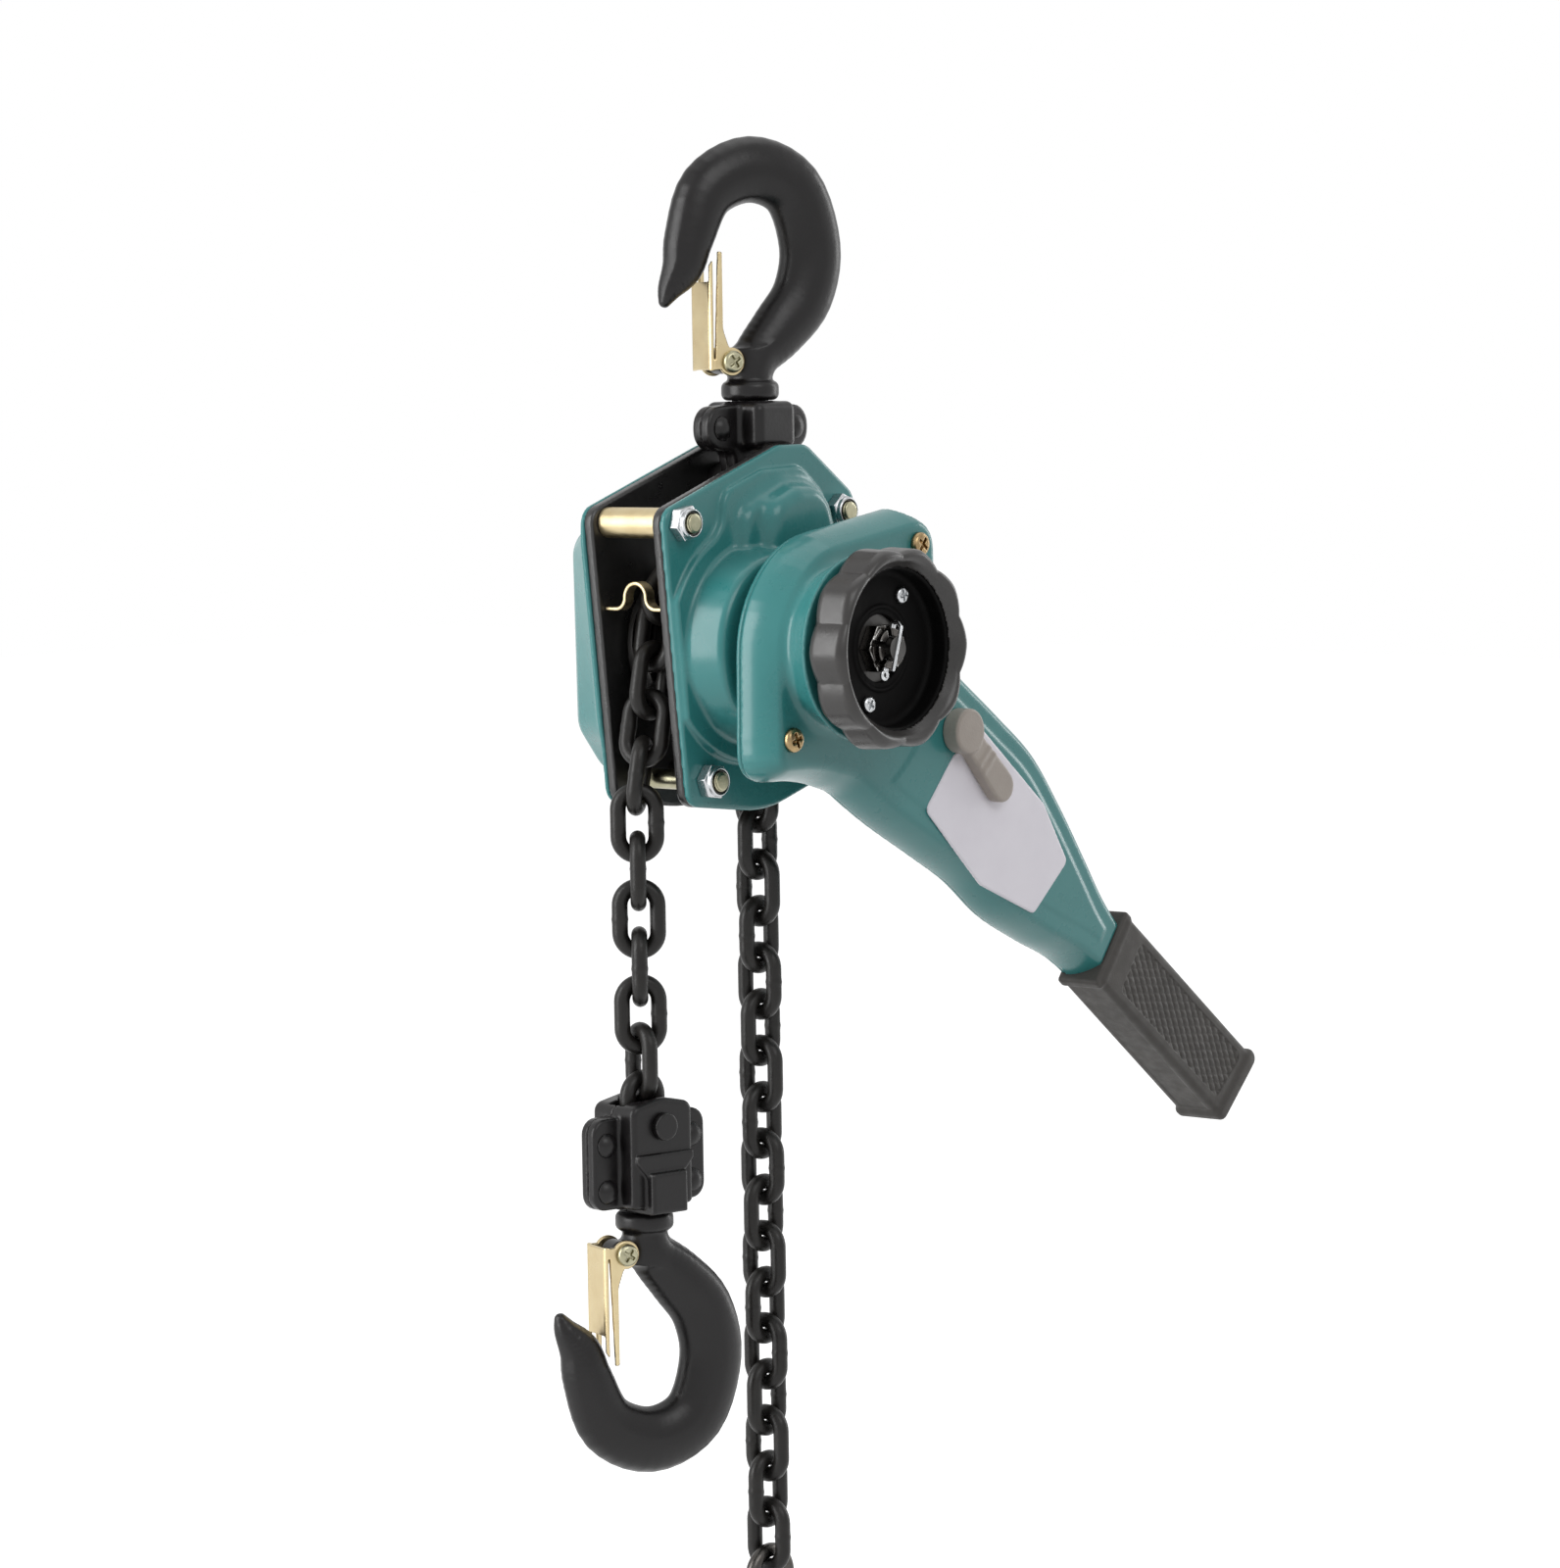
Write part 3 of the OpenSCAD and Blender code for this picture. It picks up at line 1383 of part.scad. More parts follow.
// Room for the last link
module chain_slot() {
    half_w = link_out_w / 2 + 2.1;
    half_d = wire_r + 1.2;
    low = anchor_z - wire_d - 1.2;
    mouth_h = 5;
    translate([-half_w, -half_d, low]) cube([2 * half_w, 2 * half_d, block_top + 1 - low]);
    translate([0, 0, block_top - mouth_h]) cylinder(r = link_out_w / 2 - 1, h = mouth_h + 1);
}

module block_front() { color(black) block_place() block_half(); }
module block_rear() { color(black) block_place() mirror([0, 1, 0]) block_half(); }
module block_rivets() {
    color(black)
        block_place()
            for (x = [-rivet_x, rivet_x], z = rivet_z)
                translate([x, 0, z])
                    rivet_y(2.8, 4.8, -flange_t, flange_t);
}
module anchor_pin() {
    color(steel)
        block_place()
            translate([0, 0, block_pin_z]) {
                rod_y(block_pin_r, -block_half_d - 2, block_half_d + 2);
                rod_y(5.2, -block_half_d - 2.6, -block_half_d);
                rod_y(5.2, block_half_d, block_half_d + 2.6);
            }
}

module bottom_hook() { color(black) bottom_place() hook_body(hook_neck, block_bottom + 12 - lower_neck_z); }
module bottom_hook_collar() {
    color(steel)
        at_drive()
            translate([-load_run_x, 0, 0])
                keeper(block_bottom + 5);
}
module bottom_latch() { color(gold) bottom_place() latch_sheet(); }
module bottom_latch_pin() { color(gold) bottom_place() latch_pin(); }
module bottom_latch_spring() { color(steel) bottom_place() latch_spring(); }

// ================= nodes =================

top_hook();
top_hook_collar();
top_latch();
top_latch_pin();
top_latch_spring();
top_yoke_front();
top_yoke_rear();
top_yoke_rivets();
suspension_pin();
suspension_spacers();
side_plate_front();
side_plate_rear();
brake_cover();
gear_cover();
gear_cover_screws();
stay_bolts();
stay_nuts();
stay_sleeves();
chain_guide();
chain_stripper();
bearing_bushes();
pawl_pins();
pawl_springs();
ratchet_disc();
pawl_a();
pawl_b();
load_sheave();
load_gear();
chain_on_sheave();
pinion_shaft();
disc_gear_a();
disc_gear_b();
brake_hub();
friction_discs();
drive_gear();
castle_nut();
split_pin();
handwheel();
handwheel_screws();
lever_case_front();
lever_case_rear();
lever_screws();
lever_grip();
label_plate();
selector_knob();
change_pawl();
load_chain_entry();
load_chain();
tail_chain_entry();
tail_chain();
chain_end_stop();
block_front();
block_rear();
block_rivets();
anchor_pin();
bottom_hook();
bottom_hook_collar();
bottom_latch();
bottom_latch_pin();
bottom_latch_spring();
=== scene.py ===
"""Looks of the lever chain hoist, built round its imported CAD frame.

Pieces are drawn in millimetres about the drive axis, which lies along Y, and put into the
part's frame in metres. Most are closed surfaces of a distance field, meshed by surface nets.
"""
import itertools
import json
import math
import bpy
import numpy as np
from mathutils import Matrix, Vector


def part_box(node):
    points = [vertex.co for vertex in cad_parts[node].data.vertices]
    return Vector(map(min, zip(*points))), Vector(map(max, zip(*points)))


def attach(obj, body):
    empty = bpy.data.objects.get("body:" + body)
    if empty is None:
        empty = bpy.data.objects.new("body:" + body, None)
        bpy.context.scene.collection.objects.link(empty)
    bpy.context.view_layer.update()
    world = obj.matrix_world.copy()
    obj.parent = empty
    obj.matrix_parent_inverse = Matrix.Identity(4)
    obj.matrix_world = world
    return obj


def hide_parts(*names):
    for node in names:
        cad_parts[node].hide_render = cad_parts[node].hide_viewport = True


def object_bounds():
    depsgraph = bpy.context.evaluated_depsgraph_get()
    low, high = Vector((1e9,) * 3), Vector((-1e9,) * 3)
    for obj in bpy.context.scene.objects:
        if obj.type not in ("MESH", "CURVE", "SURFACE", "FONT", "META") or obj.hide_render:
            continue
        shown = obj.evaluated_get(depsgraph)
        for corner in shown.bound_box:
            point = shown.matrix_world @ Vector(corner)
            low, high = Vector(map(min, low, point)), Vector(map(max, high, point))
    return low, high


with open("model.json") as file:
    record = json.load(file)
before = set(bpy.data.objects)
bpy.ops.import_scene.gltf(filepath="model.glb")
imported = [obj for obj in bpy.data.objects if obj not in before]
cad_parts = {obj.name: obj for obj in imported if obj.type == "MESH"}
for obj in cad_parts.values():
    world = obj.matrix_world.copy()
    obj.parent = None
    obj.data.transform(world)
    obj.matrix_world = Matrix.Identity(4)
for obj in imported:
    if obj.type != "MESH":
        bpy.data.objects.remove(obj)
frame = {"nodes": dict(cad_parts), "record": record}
CAD_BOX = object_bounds()
MM = 0.001


def mm_box(node):
    low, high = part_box(node)
    return low / MM, high / MM


# ---------------- sizes in millimetres, as in the part ----------------

WHEEL_LOW, WHEEL_HIGH = mm_box("handwheel")
AXIS = Vector(((WHEEL_LOW.x + WHEEL_HIGH.x) / 2, 0, (WHEEL_LOW.z + WHEEL_HIGH.z) / 2))
PLATE_LOW, PLATE_HIGH = mm_box("side_plate_front")
PLATE_OUT, PLATE_IN = -PLATE_LOW.y, -PLATE_HIGH.y
PLATE_L, PLATE_R = PLATE_LOW.x - AXIS.x, PLATE_HIGH.x - AXIS.x
PLATE_TOP, PLATE_DROP = 74.0, 64.0
PIN_X, PIN_Z = -AXIS.x, 60.0
WALL = 2.5
FLANGE_Y = -PLATE_OUT - WALL
DOME_R, DOME_Y = 38.0, -PLATE_OUT - 21
COVER_BOSS_R, COVER_BOSS_Y, COVER_BORE_R = 20, -50.4, 13
GEAR_FLANGE, GEAR_COVER_Y = 2, mm_box("gear_cover")[1].y
CASE_BACK = mm_box("lever_case_rear")[1].y
CASE_SPLIT = CASE_BACK - WALL
CASE_FRONT = CASE_BACK - 18.5
BOSS_R, BOSS_NECK, BOSS_Y = 36.0, 7.0, mm_box("lever_case_front")[0].y
WHEEL_R, WHEEL_FRONT, WHEEL_BACK = 38.0, WHEEL_LOW.y, WHEEL_HIGH.y
LEVER_A = math.radians(-37.5)
SELECTOR = (70.7, -35.7)
POINTER_A = math.radians(-45.8)
STAYS = [(-36, 46.5), (PLATE_R - 11.5, 48), (-23.2, -50), (PLATE_R - 18, -47)]
STAY_R, SLEEVE_R = 3.75, 5.75
PLATE_CORNERS = [(PLATE_L, 51, 7), (PLATE_L + 12, -PLATE_DROP + 5, 7), (10, -PLATE_DROP, 60),
                 (PLATE_R - 13, -51, 12), (PLATE_R, 54, 8), (PIN_X + 8, PLATE_TOP, 9),
                 (PIN_X - 8, PLATE_TOP, 9)]


# ---------------- outlines and distance fields ----------------

def rounded(corners, steps=6):
    """Points of an outline whose corners (x, z, radius) are rounded."""
    points = []
    for i, (x, z, r) in enumerate(corners):
        here = np.array((x, z))
        u = np.array(corners[i - 1][:2]) - here
        v = np.array(corners[(i + 1) % len(corners)][:2]) - here
        u, v = u / np.linalg.norm(u), v / np.linalg.norm(v)
        half = math.acos(max(-1, min(1, float(u @ v)))) / 2
        middle = (u + v) / np.linalg.norm(u + v)
        centre = here + middle * r / math.sin(half)
        first = here + u * r / math.tan(half) - centre
        last = here + v * r / math.tan(half) - centre
        a = math.atan2(first[1], first[0])
        turn = (math.atan2(last[1], last[0]) - a + math.pi) % (2 * math.pi) - math.pi
        points += [centre + r * np.array((math.cos(a + turn * k / steps), math.sin(a + turn * k / steps)))
                   for k in range(steps + 1)]
    return points


def outline(points):
    """Signed distance to a closed outline, as a function of x and z."""
    ends = [(tuple(a), tuple(b)) for a, b in zip(points, points[1:] + points[:1])]

    def field(x, z):
        near, inside = None, None
        for (ax, az), (bx, bz) in ends:
            ex, ez = bx - ax, bz - az
            wx, wz = x - ax, z - az
            t = np.clip((wx * ex + wz * ez) / max(ex * ex + ez * ez, 1e-12), 0, 1)
            gap = (wx - ex * t) ** 2 + (wz - ez * t) ** 2
            near = gap if near is None else np.minimum(near, gap)
            above, below, left = z >= az, z < bz, ex * wz > ez * wx
            flip = (above & below & left) | (~above & ~below & ~left)
            inside = flip if inside is None else inside ^ flip
        near = np.sqrt(near)
        return np.where(inside, -near, near)

    return field


def soft_outline(corners):
    return outline(rounded(corners))


def both(a, b, r=0.0):
    """Common space of two fields, with the edge rounded to radius r."""
    if r <= 0:
        return np.maximum(a, b)
    return np.minimum(np.maximum(a, b), -r) + np.hypot(np.maximum(a + r, 0), np.maximum(b + r, 0))


def melt(a, b, k):
    """Union of two fields with a fillet about k wide."""
    h = np.clip(0.5 + 0.5 * (b - a) / k, 0, 1)
    return b * (1 - h) + a * h - k * h * (1 - h)


def carve(a, b, k=0.0):
    """a without b, with the new edge softened over k."""
    return np.maximum(a, -b) if k <= 0 else -melt(-a, b, k)


def span(c, low, high):
    """Field of the layer between two values of one coordinate."""
    return np.abs(c - (low + high) / 2) - (high - low) / 2


def slab(flat, y, y0, y1, r=0.0):
    """Outline field flat between two depths, all edges rounded."""
    return both(flat, span(y, y0, y1), r)


def rod(x, y, z, r, y0, y1, soft=0.0, at=(0, 0)):
    return slab(np.hypot(x - at[0], z - at[1]) - r, y, y0, y1, soft)


def brick(x, y, z, low, high, r=0.0):
    """Box with rounded edges."""
    q = [span(c, a, b) + r for c, a, b in zip((x, y, z), low, high)]
    out = np.sqrt(np.maximum(q[0], 0) ** 2 + np.maximum(q[1], 0) ** 2 + np.maximum(q[2], 0) ** 2)
    return out + np.minimum(np.maximum(np.maximum(q[0], q[1]), q[2]), 0) - r


def hexagon(x, z, flats, turn=0.0):
    c, s = math.cos(turn), math.sin(turn)
    u, v = x * c + z * s, z * c - x * s
    side = [np.abs(u * math.cos(a) + v * math.sin(a)) for a in (math.pi / 6, math.pi / 2, 5 * math.pi / 6)]
    return np.maximum(np.maximum(side[0], side[1]), side[2]) - flats / 2


def turned(x, z, angle):
    """Coordinates along and across a direction in the X-Z plane."""
    c, s = math.cos(angle), math.sin(angle)
    return x * c + z * s, z * c - x * s


def wire(x, y, z, points):
    """Distance to a bent line through points."""
    near = None
    for a, b in zip(points[:-1], points[1:]):
        e = [q - p for p, q in zip(a, b)]
        t = sum((c - p) * d for c, p, d in zip((x, y, z), a, e)) / sum(d * d for d in e)
        t = np.clip(t, 0, 1)
        gap = sum((c - p - d * t) ** 2 for c, p, d in zip((x, y, z), a, e))
        near = gap if near is None else np.minimum(near, gap)
    return np.sqrt(near)


def post(x, y, z, r, z0, z1, soft=0.0):
    """Round bar along Z."""
    return both(np.hypot(x, y) - r, span(z, z0, z1), soft)


def rivet_head(x, y, z, r, height):
    """Dome on the plane y = 0, facing -Y, with a short neck behind."""
    ball = (r * r + height * height) / 2 / height
    dome = np.maximum(np.sqrt(x * x + z * z + (y - ball + height) ** 2) - ball, y)
    return np.minimum(dome, rod(x, y, z, r * 0.6, -height / 2, 1.0))


CORNERS = np.array(list(itertools.product((0, 1), repeat=3)))
EDGES = [(a, b) for a, b in itertools.combinations(range(8), 2)
         if np.abs(CORNERS[a] - CORNERS[b]).sum() == 1]


def net(field, low, high, step):
    """Vertices and quads of the surface where field(x, y, z) is zero, inside the box low to high."""
    axes = [np.arange(a - 2 * step, b + 2.5 * step, step) for a, b in zip(low, high)]
    shape = tuple(len(a) for a in axes)
    grid = np.meshgrid(*axes, indexing="ij", sparse=True)
    values = np.broadcast_to(field(*grid), shape).astype(np.float32)
    solid = values < 0
    count = np.zeros([n - 1 for n in shape], np.int8)
    for c in CORNERS:
        count += solid[c[0]:shape[0] - 1 + c[0], c[1]:shape[1] - 1 + c[1], c[2]:shape[2] - 1 + c[2]]
    cells = np.argwhere((count > 0) & (count < 8))
    number = np.full(count.shape, -1, np.int32)
    number[tuple(cells.T)] = np.arange(len(cells))
    corner = np.stack([values[tuple((cells + c).T)] for c in CORNERS], 1)
    total, hits = np.zeros((len(cells), 3)), np.zeros(len(cells))
    for a, b in EDGES:
        va, vb = corner[:, a], corner[:, b]
        cross = (va < 0) != (vb < 0)
        t = np.where(cross, va / np.where(cross, va - vb, 1), 0)[:, None]
        total += np.where(cross[:, None], CORNERS[a] + t * (CORNERS[b] - CORNERS[a]), 0)
        hits += cross
    origin = np.array([a[0] for a in axes])
    points = origin + (cells + total / hits[:, None]) * step
    quads = []
    for k in range(3):
        i, j = (k + 1) % 3, (k + 2) % 3
        lo, hi = [slice(1, -1)] * 3, [slice(1, -1)] * 3
        lo[k], hi[k] = slice(0, -1), slice(1, None)
        change = solid[tuple(lo)] != solid[tuple(hi)]
        at = np.argwhere(change)
        at[:, i] += 1
        at[:, j] += 1
        around = []
        for di, dj in ((-1, -1), (0, -1), (0, 0), (-1, 0)):
            cell = at.copy()
            cell[:, i] += di
            cell[:, j] += dj
            around.append(number[tuple(cell.T)])
        ring = np.stack(around, 1)
        outward = solid[tuple(at.T)]
        quads.append(np.where(outward[:, None], ring, ring[:, ::-1]))
    return settle(field, points, step), np.concatenate(quads)


def settle(field, points, step):
    """Moves the net's vertices onto the surface itself, by at most half a step."""
    start, h = points.copy(), 0.05 * step
    for _ in range(3):
        x, y, z = points.T
        f = field(x, y, z)
        slope = np.stack([field(x + h, y, z) - f, field(x, y + h, z) - f, field(x, y, z + h) - f], 1) / h
        size = np.maximum((slope ** 2).sum(1), 0.04)
        points = points - slope * (f / size)[:, None] * 0.8
        points = start + np.clip(points - start, -0.5 * step, 0.5 * step)
    return points


def round_net(field, r, y0, y1, step):
    """Net of a field round the Y axis: r wide, between two depths."""
    return net(field, (-r, y0, -r), (r, y1, r), step)


# ---------------- putting pieces in place ----------------

def mesh_piece(name, body, slot, node_names, points, faces, smooth=True, sharp=None):
    """Piece from points in millimetres about the drive axis."""
    mesh = bpy.data.meshes.new(name)
    faces = np.asarray(faces, np.int32)
    sides = faces.shape[1]
    mesh.vertices.add(len(points))
    mesh.vertices.foreach_set("co", ((np.asarray(points) + np.array(AXIS)) * MM).astype(np.float32).ravel())
    mesh.loops.add(faces.size)
    mesh.loops.foreach_set("vertex_index", faces.ravel())
    mesh.polygons.add(len(faces))
    mesh.polygons.foreach_set("loop_start", np.arange(0, faces.size, sides, dtype=np.int32))
    mesh.polygons.foreach_set("use_smooth", np.full(len(faces), smooth))
    mesh.update(calc_edges=True)
    mesh.validate()
    if sharp:
        mesh.set_sharp_from_angle(angle=math.radians(sharp))
    piece = bpy.data.objects.new(name, mesh)
    bpy.context.scene.collection.objects.link(piece)
    piece.data.materials.append(MATERIALS[slot])
    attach(piece, body)
    if node_names:
        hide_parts(*node_names)
    return piece


def joined(parts):
    """One mesh out of several (points, faces)."""
    points, faces, start = [], [], 0
    for p, f in parts:
        points.append(p)
        faces.append(np.asarray(f) + start)
        start += len(p)
    return np.concatenate(points), np.concatenate(faces)


def moved(part, matrix):
    """(points, faces) after a 4 x 4 matrix; a mirrored copy keeps its faces outward."""
    points, faces = part
    m = np.array(matrix)
    points = points @ m[:3, :3].T + m[:3, 3]
    return points, (faces[:, ::-1] if np.linalg.det(m[:3, :3]) < 0 else faces)


def about_y(angle):
    """Turn in the X-Z plane from X towards Z."""
    return Matrix.Rotation(-angle, 4, "Y")


def shift(x, y, z):
    return Matrix.Translation((x, y, z))


MIRROR_Y = Matrix.Scale(-1, 4, (0, 1, 0))
MIRROR_Z = Matrix.Scale(-1, 4, (0, 0, 1))


def tube(path, radius, sides=14):
    """Quads round a closed path of points, with radius given point by point."""
    path = np.asarray(path, float)
    along = np.roll(path, -1, 0) - np.roll(path, 1, 0)
    along /= np.linalg.norm(along, axis=1)[:, None]
    across = np.cross(along, (0, 1, 0))
    across /= np.linalg.norm(across, axis=1)[:, None]
    turn = np.arange(sides) * 2 * math.pi / sides
    ring = across[:, None] * np.cos(turn)[None, :, None] + np.array((0, 1, 0)) * np.sin(turn)[None, :, None]
    points = (path[:, None] + ring * np.asarray(radius)[:, None, None]).reshape(-1, 3)
    i, k = np.meshgrid(np.arange(len(path)), np.arange(sides), indexing="ij")
    n, m = (i + 1) % len(path), (k + 1) % sides
    faces = np.stack([i * sides + k, i * sides + m, n * sides + m, n * sides + k], -1)
    return points, faces.reshape(-1, 4)


def pan_head(x, y, z, r, height, turn, tail):
    """Pan head with a cross recess on the plane y = 0, facing -Y, and its shank behind."""
    radial = np.hypot(x, z)
    head = np.maximum(both(radial - r, -height - y, 0.7 * height), y)
    u, v = (np.abs(c) for c in turned(x, z, turn))
    cross = np.minimum(np.maximum(u - r * 0.15, v - r * 0.62), np.maximum(v - r * 0.15, u - r * 0.62))
    head = carve(head, np.maximum(cross, y + 0.35 * height), 0.2)
    return np.minimum(head, rod(x, y, z, r * 0.45, -0.2, tail, 0.2))


def screw(r, height, turn, tail, step=0.3):
    return round_net(lambda x, y, z: pan_head(x, y, z, r, height, turn, tail), r, -height, tail, step)


def rivet_pair(r, height, depth):
    """Two rivet heads back to back, on the planes y = -depth and y = depth."""
    head = round_net(lambda x, y, z: rivet_head(x, y, z, r, height), r, -height, 1, 0.4)
    head = moved(head, shift(0, -depth, 0))
    return [head, moved(head, MIRROR_Y)]


# ---------------- materials ----------------

def srgb(r, g, b):
    """Linear colour from eight-bit screen values."""
    def line(v):
        v /= 255
        return v / 12.92 if v <= 0.04045 else ((v + 0.055) / 1.055) ** 2.4
    return (line(r), line(g), line(b), 1)


def finish(name, colour, second, rough, metallic=0.0, coat=0.0, specular=0.5, spots=60.0, spread=0.35,
           grain=900.0, grain_height=0.00002, dimple=0.0, edge_wear_and_highlight=None):
    """Material with mottled colour, uneven gloss and fine relief.

    colour and second are mixed by a cloudy pattern; rough is (least, most); spots and grain are
    patterns per metre; dimple adds a wider, soft relief; the edge colour shows on sharp edges, partly as
    edge wear and partly as a painted highlight."""
    material = bpy.data.materials.new(name)
    material.use_nodes = True
    tree = material.node_tree
    shader = tree.nodes["Principled BSDF"]
    link = tree.links.new

    def node(kind, **values):
        n = tree.nodes.new(kind)
        for key, value in values.items():
            if key in n.inputs:
                n.inputs[key].default_value = value
            else:
                setattr(n, key, value)
        return n

    place = node("ShaderNodeTexCoord").outputs["Object"]

    def noise(scale, detail=4.0):
        n = node("ShaderNodeTexNoise", Scale=scale, Detail=detail)
        link(place, n.inputs["Vector"])
        return n.outputs["Fac"]

    def ramp(value, low, high, a, b):
        n = node("ShaderNodeMapRange")
        link(value, n.inputs["Value"])
        for key, number in zip(("From Min", "From Max", "To Min", "To Max"), (low, high, a, b)):
            n.inputs[key].default_value = number
        return n.outputs["Result"]

    cloud = noise(spots)
    mix = node("ShaderNodeMix", data_type="RGBA")
    link(ramp(cloud, 0.5 - spread, 0.5 + spread, 0, 1), mix.inputs["Factor"])
    mix.inputs["A"].default_value, mix.inputs["B"].default_value = colour, second
    shade = mix.outputs["Result"]
    # Painted highlight and wear: a paler colour on sharp edges, partly edge wear and partly standing in for
    # the thin highlights along edges.
    if edge_wear_and_highlight:
        edge = node("ShaderNodeNewGeometry").outputs["Pointiness"]
        wear_and_highlight_mask = node("ShaderNodeMath", operation="MULTIPLY")
        link(ramp(edge, 0.53, 0.6, 0, 1), wear_and_highlight_mask.inputs[0])
        link(ramp(noise(420.0, 6.0), 0.45, 0.62, 0, 1), wear_and_highlight_mask.inputs[1])
        wear_and_highlight_mix = node("ShaderNodeMix", data_type="RGBA")
        link(wear_and_highlight_mask.outputs["Value"], wear_and_highlight_mix.inputs["Factor"])
        link(shade, wear_and_highlight_mix.inputs["A"])
        wear_and_highlight_mix.inputs["B"].default_value = edge_wear_and_highlight
        shade = wear_and_highlight_mix.outputs["Result"]
    link(shade, shader.inputs["Base Color"])
    link(ramp(noise(spots * 3.1, 6.0), 0.3, 0.7, *rough), shader.inputs["Roughness"])
    fine = node("ShaderNodeBump", Strength=1.0, Distance=grain_height)
    link(noise(grain, 3.0), fine.inputs["Height"])
    if dimple:
        wide = node("ShaderNodeBump", Strength=1.0, Distance=dimple)
        link(noise(grain / 6, 2.0), wide.inputs["Height"])
        link(fine.outputs["Normal"], wide.inputs["Normal"])
        link(wide.outputs["Normal"], shader.inputs["Normal"])
    else:
        link(fine.outputs["Normal"], shader.inputs["Normal"])
    shader.inputs["Metallic"].default_value = metallic
    shader.inputs["Coat Weight"].default_value = coat
    shader.inputs["Coat Roughness"].default_value = 0.16
    shader.inputs["Specular IOR Level"].default_value = specular
    return material


LOOKS = {
    "teal": ("teal_enamel", "teal_enamel", (50, 120, 120), (56, 128, 127), (0.24, 0.34),
             dict(coat=0.3, specular=0.3, spots=30, grain=260, grain_height=0.00003, dimple=0.00004)),
    # The black and chain looks have a paler edge colour: partly edge wear, partly a painted highlight.
    "black": ("black_enamel", "black_enamel", (14, 12, 13), (19, 17, 18), (0.27, 0.38),
              dict(specular=0.33, spots=45, grain=700, grain_height=0.00004, dimple=0.00006,
                   edge_wear_and_highlight=srgb(84, 82, 82))),
    # Painted highlight: a lighter copy of the black enamel for the side plates, so their rounded edges read
    # as lit.
    "plate": ("black_enamel", "black_plate_painted_highlight", (30, 30, 30), (36, 36, 36), (0.26, 0.36),
              dict(specular=0.6, spots=45, grain=700, grain_height=0.00004)),
    "wheel": ("black_wheel", "black_wheel", (40, 38, 37), (48, 46, 45), (0.26, 0.38),
              dict(specular=0.5, spots=40, grain=800, grain_height=0.00004, dimple=0.00004)),
    # Painted shade: a near-black, dull copy of the wheel's black for the inside of its deep cup, where shade
    # falls.
    "cup": ("black_wheel", "wheel_inside_painted_shade", (8, 8, 8), (13, 12, 12), (0.5, 0.65),
            dict(specular=0.06, spots=60, grain=900, grain_height=0.00004)),
    "chain": ("black_chain", "black_chain", (18, 17, 16), (30, 28, 26), (0.3, 0.46),
              dict(specular=0.3, spots=160, grain=1200, grain_height=0.00006, edge_wear_and_highlight=srgb(96, 94, 92))),
    "zinc": ("zinc", "bright_zinc", (204, 206, 208), (170, 172, 174), (0.16, 0.3),
             dict(metallic=1.0, spots=200, grain=1500, grain_height=0.00002)),
    # Painted shade and highlight: a darkened copy of the zinc for the castle nut deep in the wheel's cup
    # (also used for the chain's end ring), with a bright edge colour standing in for glints on its edges.
    "nut": ("zinc", "zinc_painted_shade_and_highlight", (92, 89, 86), (64, 62, 60), (0.2, 0.34),
            dict(metallic=1.0, spots=260, grain=1500, grain_height=0.00002, edge_wear_and_highlight=srgb(220, 220, 218))),
    "gold": ("yellow_zinc", "yellow_zinc", (208, 194, 156), (192, 172, 132), (0.26, 0.4),
             dict(metallic=1.0, spots=90, grain=1200, grain_height=0.00003)),
    "bolt": ("yellow_zinc", "pale_bolt", (178, 175, 150), (146, 142, 116), (0.26, 0.4),
             dict(metallic=1.0, spots=240, grain=1400, grain_height=0.00003)),
    "bronze_screw": ("zinc", "bronze_screw", (176, 152, 112), (124, 104, 76), (0.22, 0.36),
                     dict(metallic=1.0, spots=300, grain=1500, grain_height=0.00003)),
    "steel": ("plain_steel", "plain_steel", (92, 91, 90), (64, 63, 62), (0.3, 0.44),
              dict(metallic=1.0, spots=120, grain=1400, grain_height=0.00003)),
    "bronze": ("bronze", "bearing_bronze", (190, 160, 104), (160, 128, 82), (0.28, 0.42),
               dict(metallic=1.0, spots=140, grain=1400, grain_height=0.00003)),
    "friction": ("friction", "friction_lining", (104, 84, 62), (70, 58, 46), (0.7, 0.9),
                 dict(specular=0.3, spots=500, grain=1600, grain_height=0.0001)),
    "rubber": ("grip_rubber", "grip_rubber", (56, 54, 52), (66, 63, 60), (0.5, 0.66),
               dict(specular=0.35, spots=70, grain=1500, grain_height=0.00006)),
    "selector": ("selector_grey", "selector_grey", (150, 141, 133), (161, 152, 144), (0.36, 0.5),
                 dict(specular=0.4, spots=120, grain=1300, grain_height=0.00005)),
    "label": ("bare_label", "bare_label", (224, 220, 228), (232, 229, 236), (0.3, 0.4),
              dict(specular=0.4, spots=60, grain=1800, grain_height=0.00001)),
}
SLOT_OF = {look: entry[0] for look, entry in LOOKS.items()}
MATERIALS = {look: finish(name, srgb(*first), srgb(*second), rough, **more)
             for look, (_, name, first, second, rough, more) in LOOKS.items()}
# A slot's own look is the first one listed for it
LOOK_OF = {slot: look for look, slot in reversed(SLOT_OF.items())}
for entry in frame["record"]["subparts"]:
    mesh = frame["nodes"][entry["node"]].data
    mesh.materials.clear()
    mesh.materials.append(MATERIALS[LOOK_OF[entry["material_slot"]]])


# ---------------- camera, floor and light ----------------

CAMERA_AZIMUTH, CAMERA_ELEVATION, CAMERA_ROLL = (math.radians(a) for a in (-49.426, 4.712, -0.923))
CAMERA_DISTANCE = 1996.0
FOCAL_SHARE = 2.70
IMAGE_W, IMAGE_H = 1592, 1600
AXIS_PIXEL = (717.87, 655.66)
SENSOR = 36.0


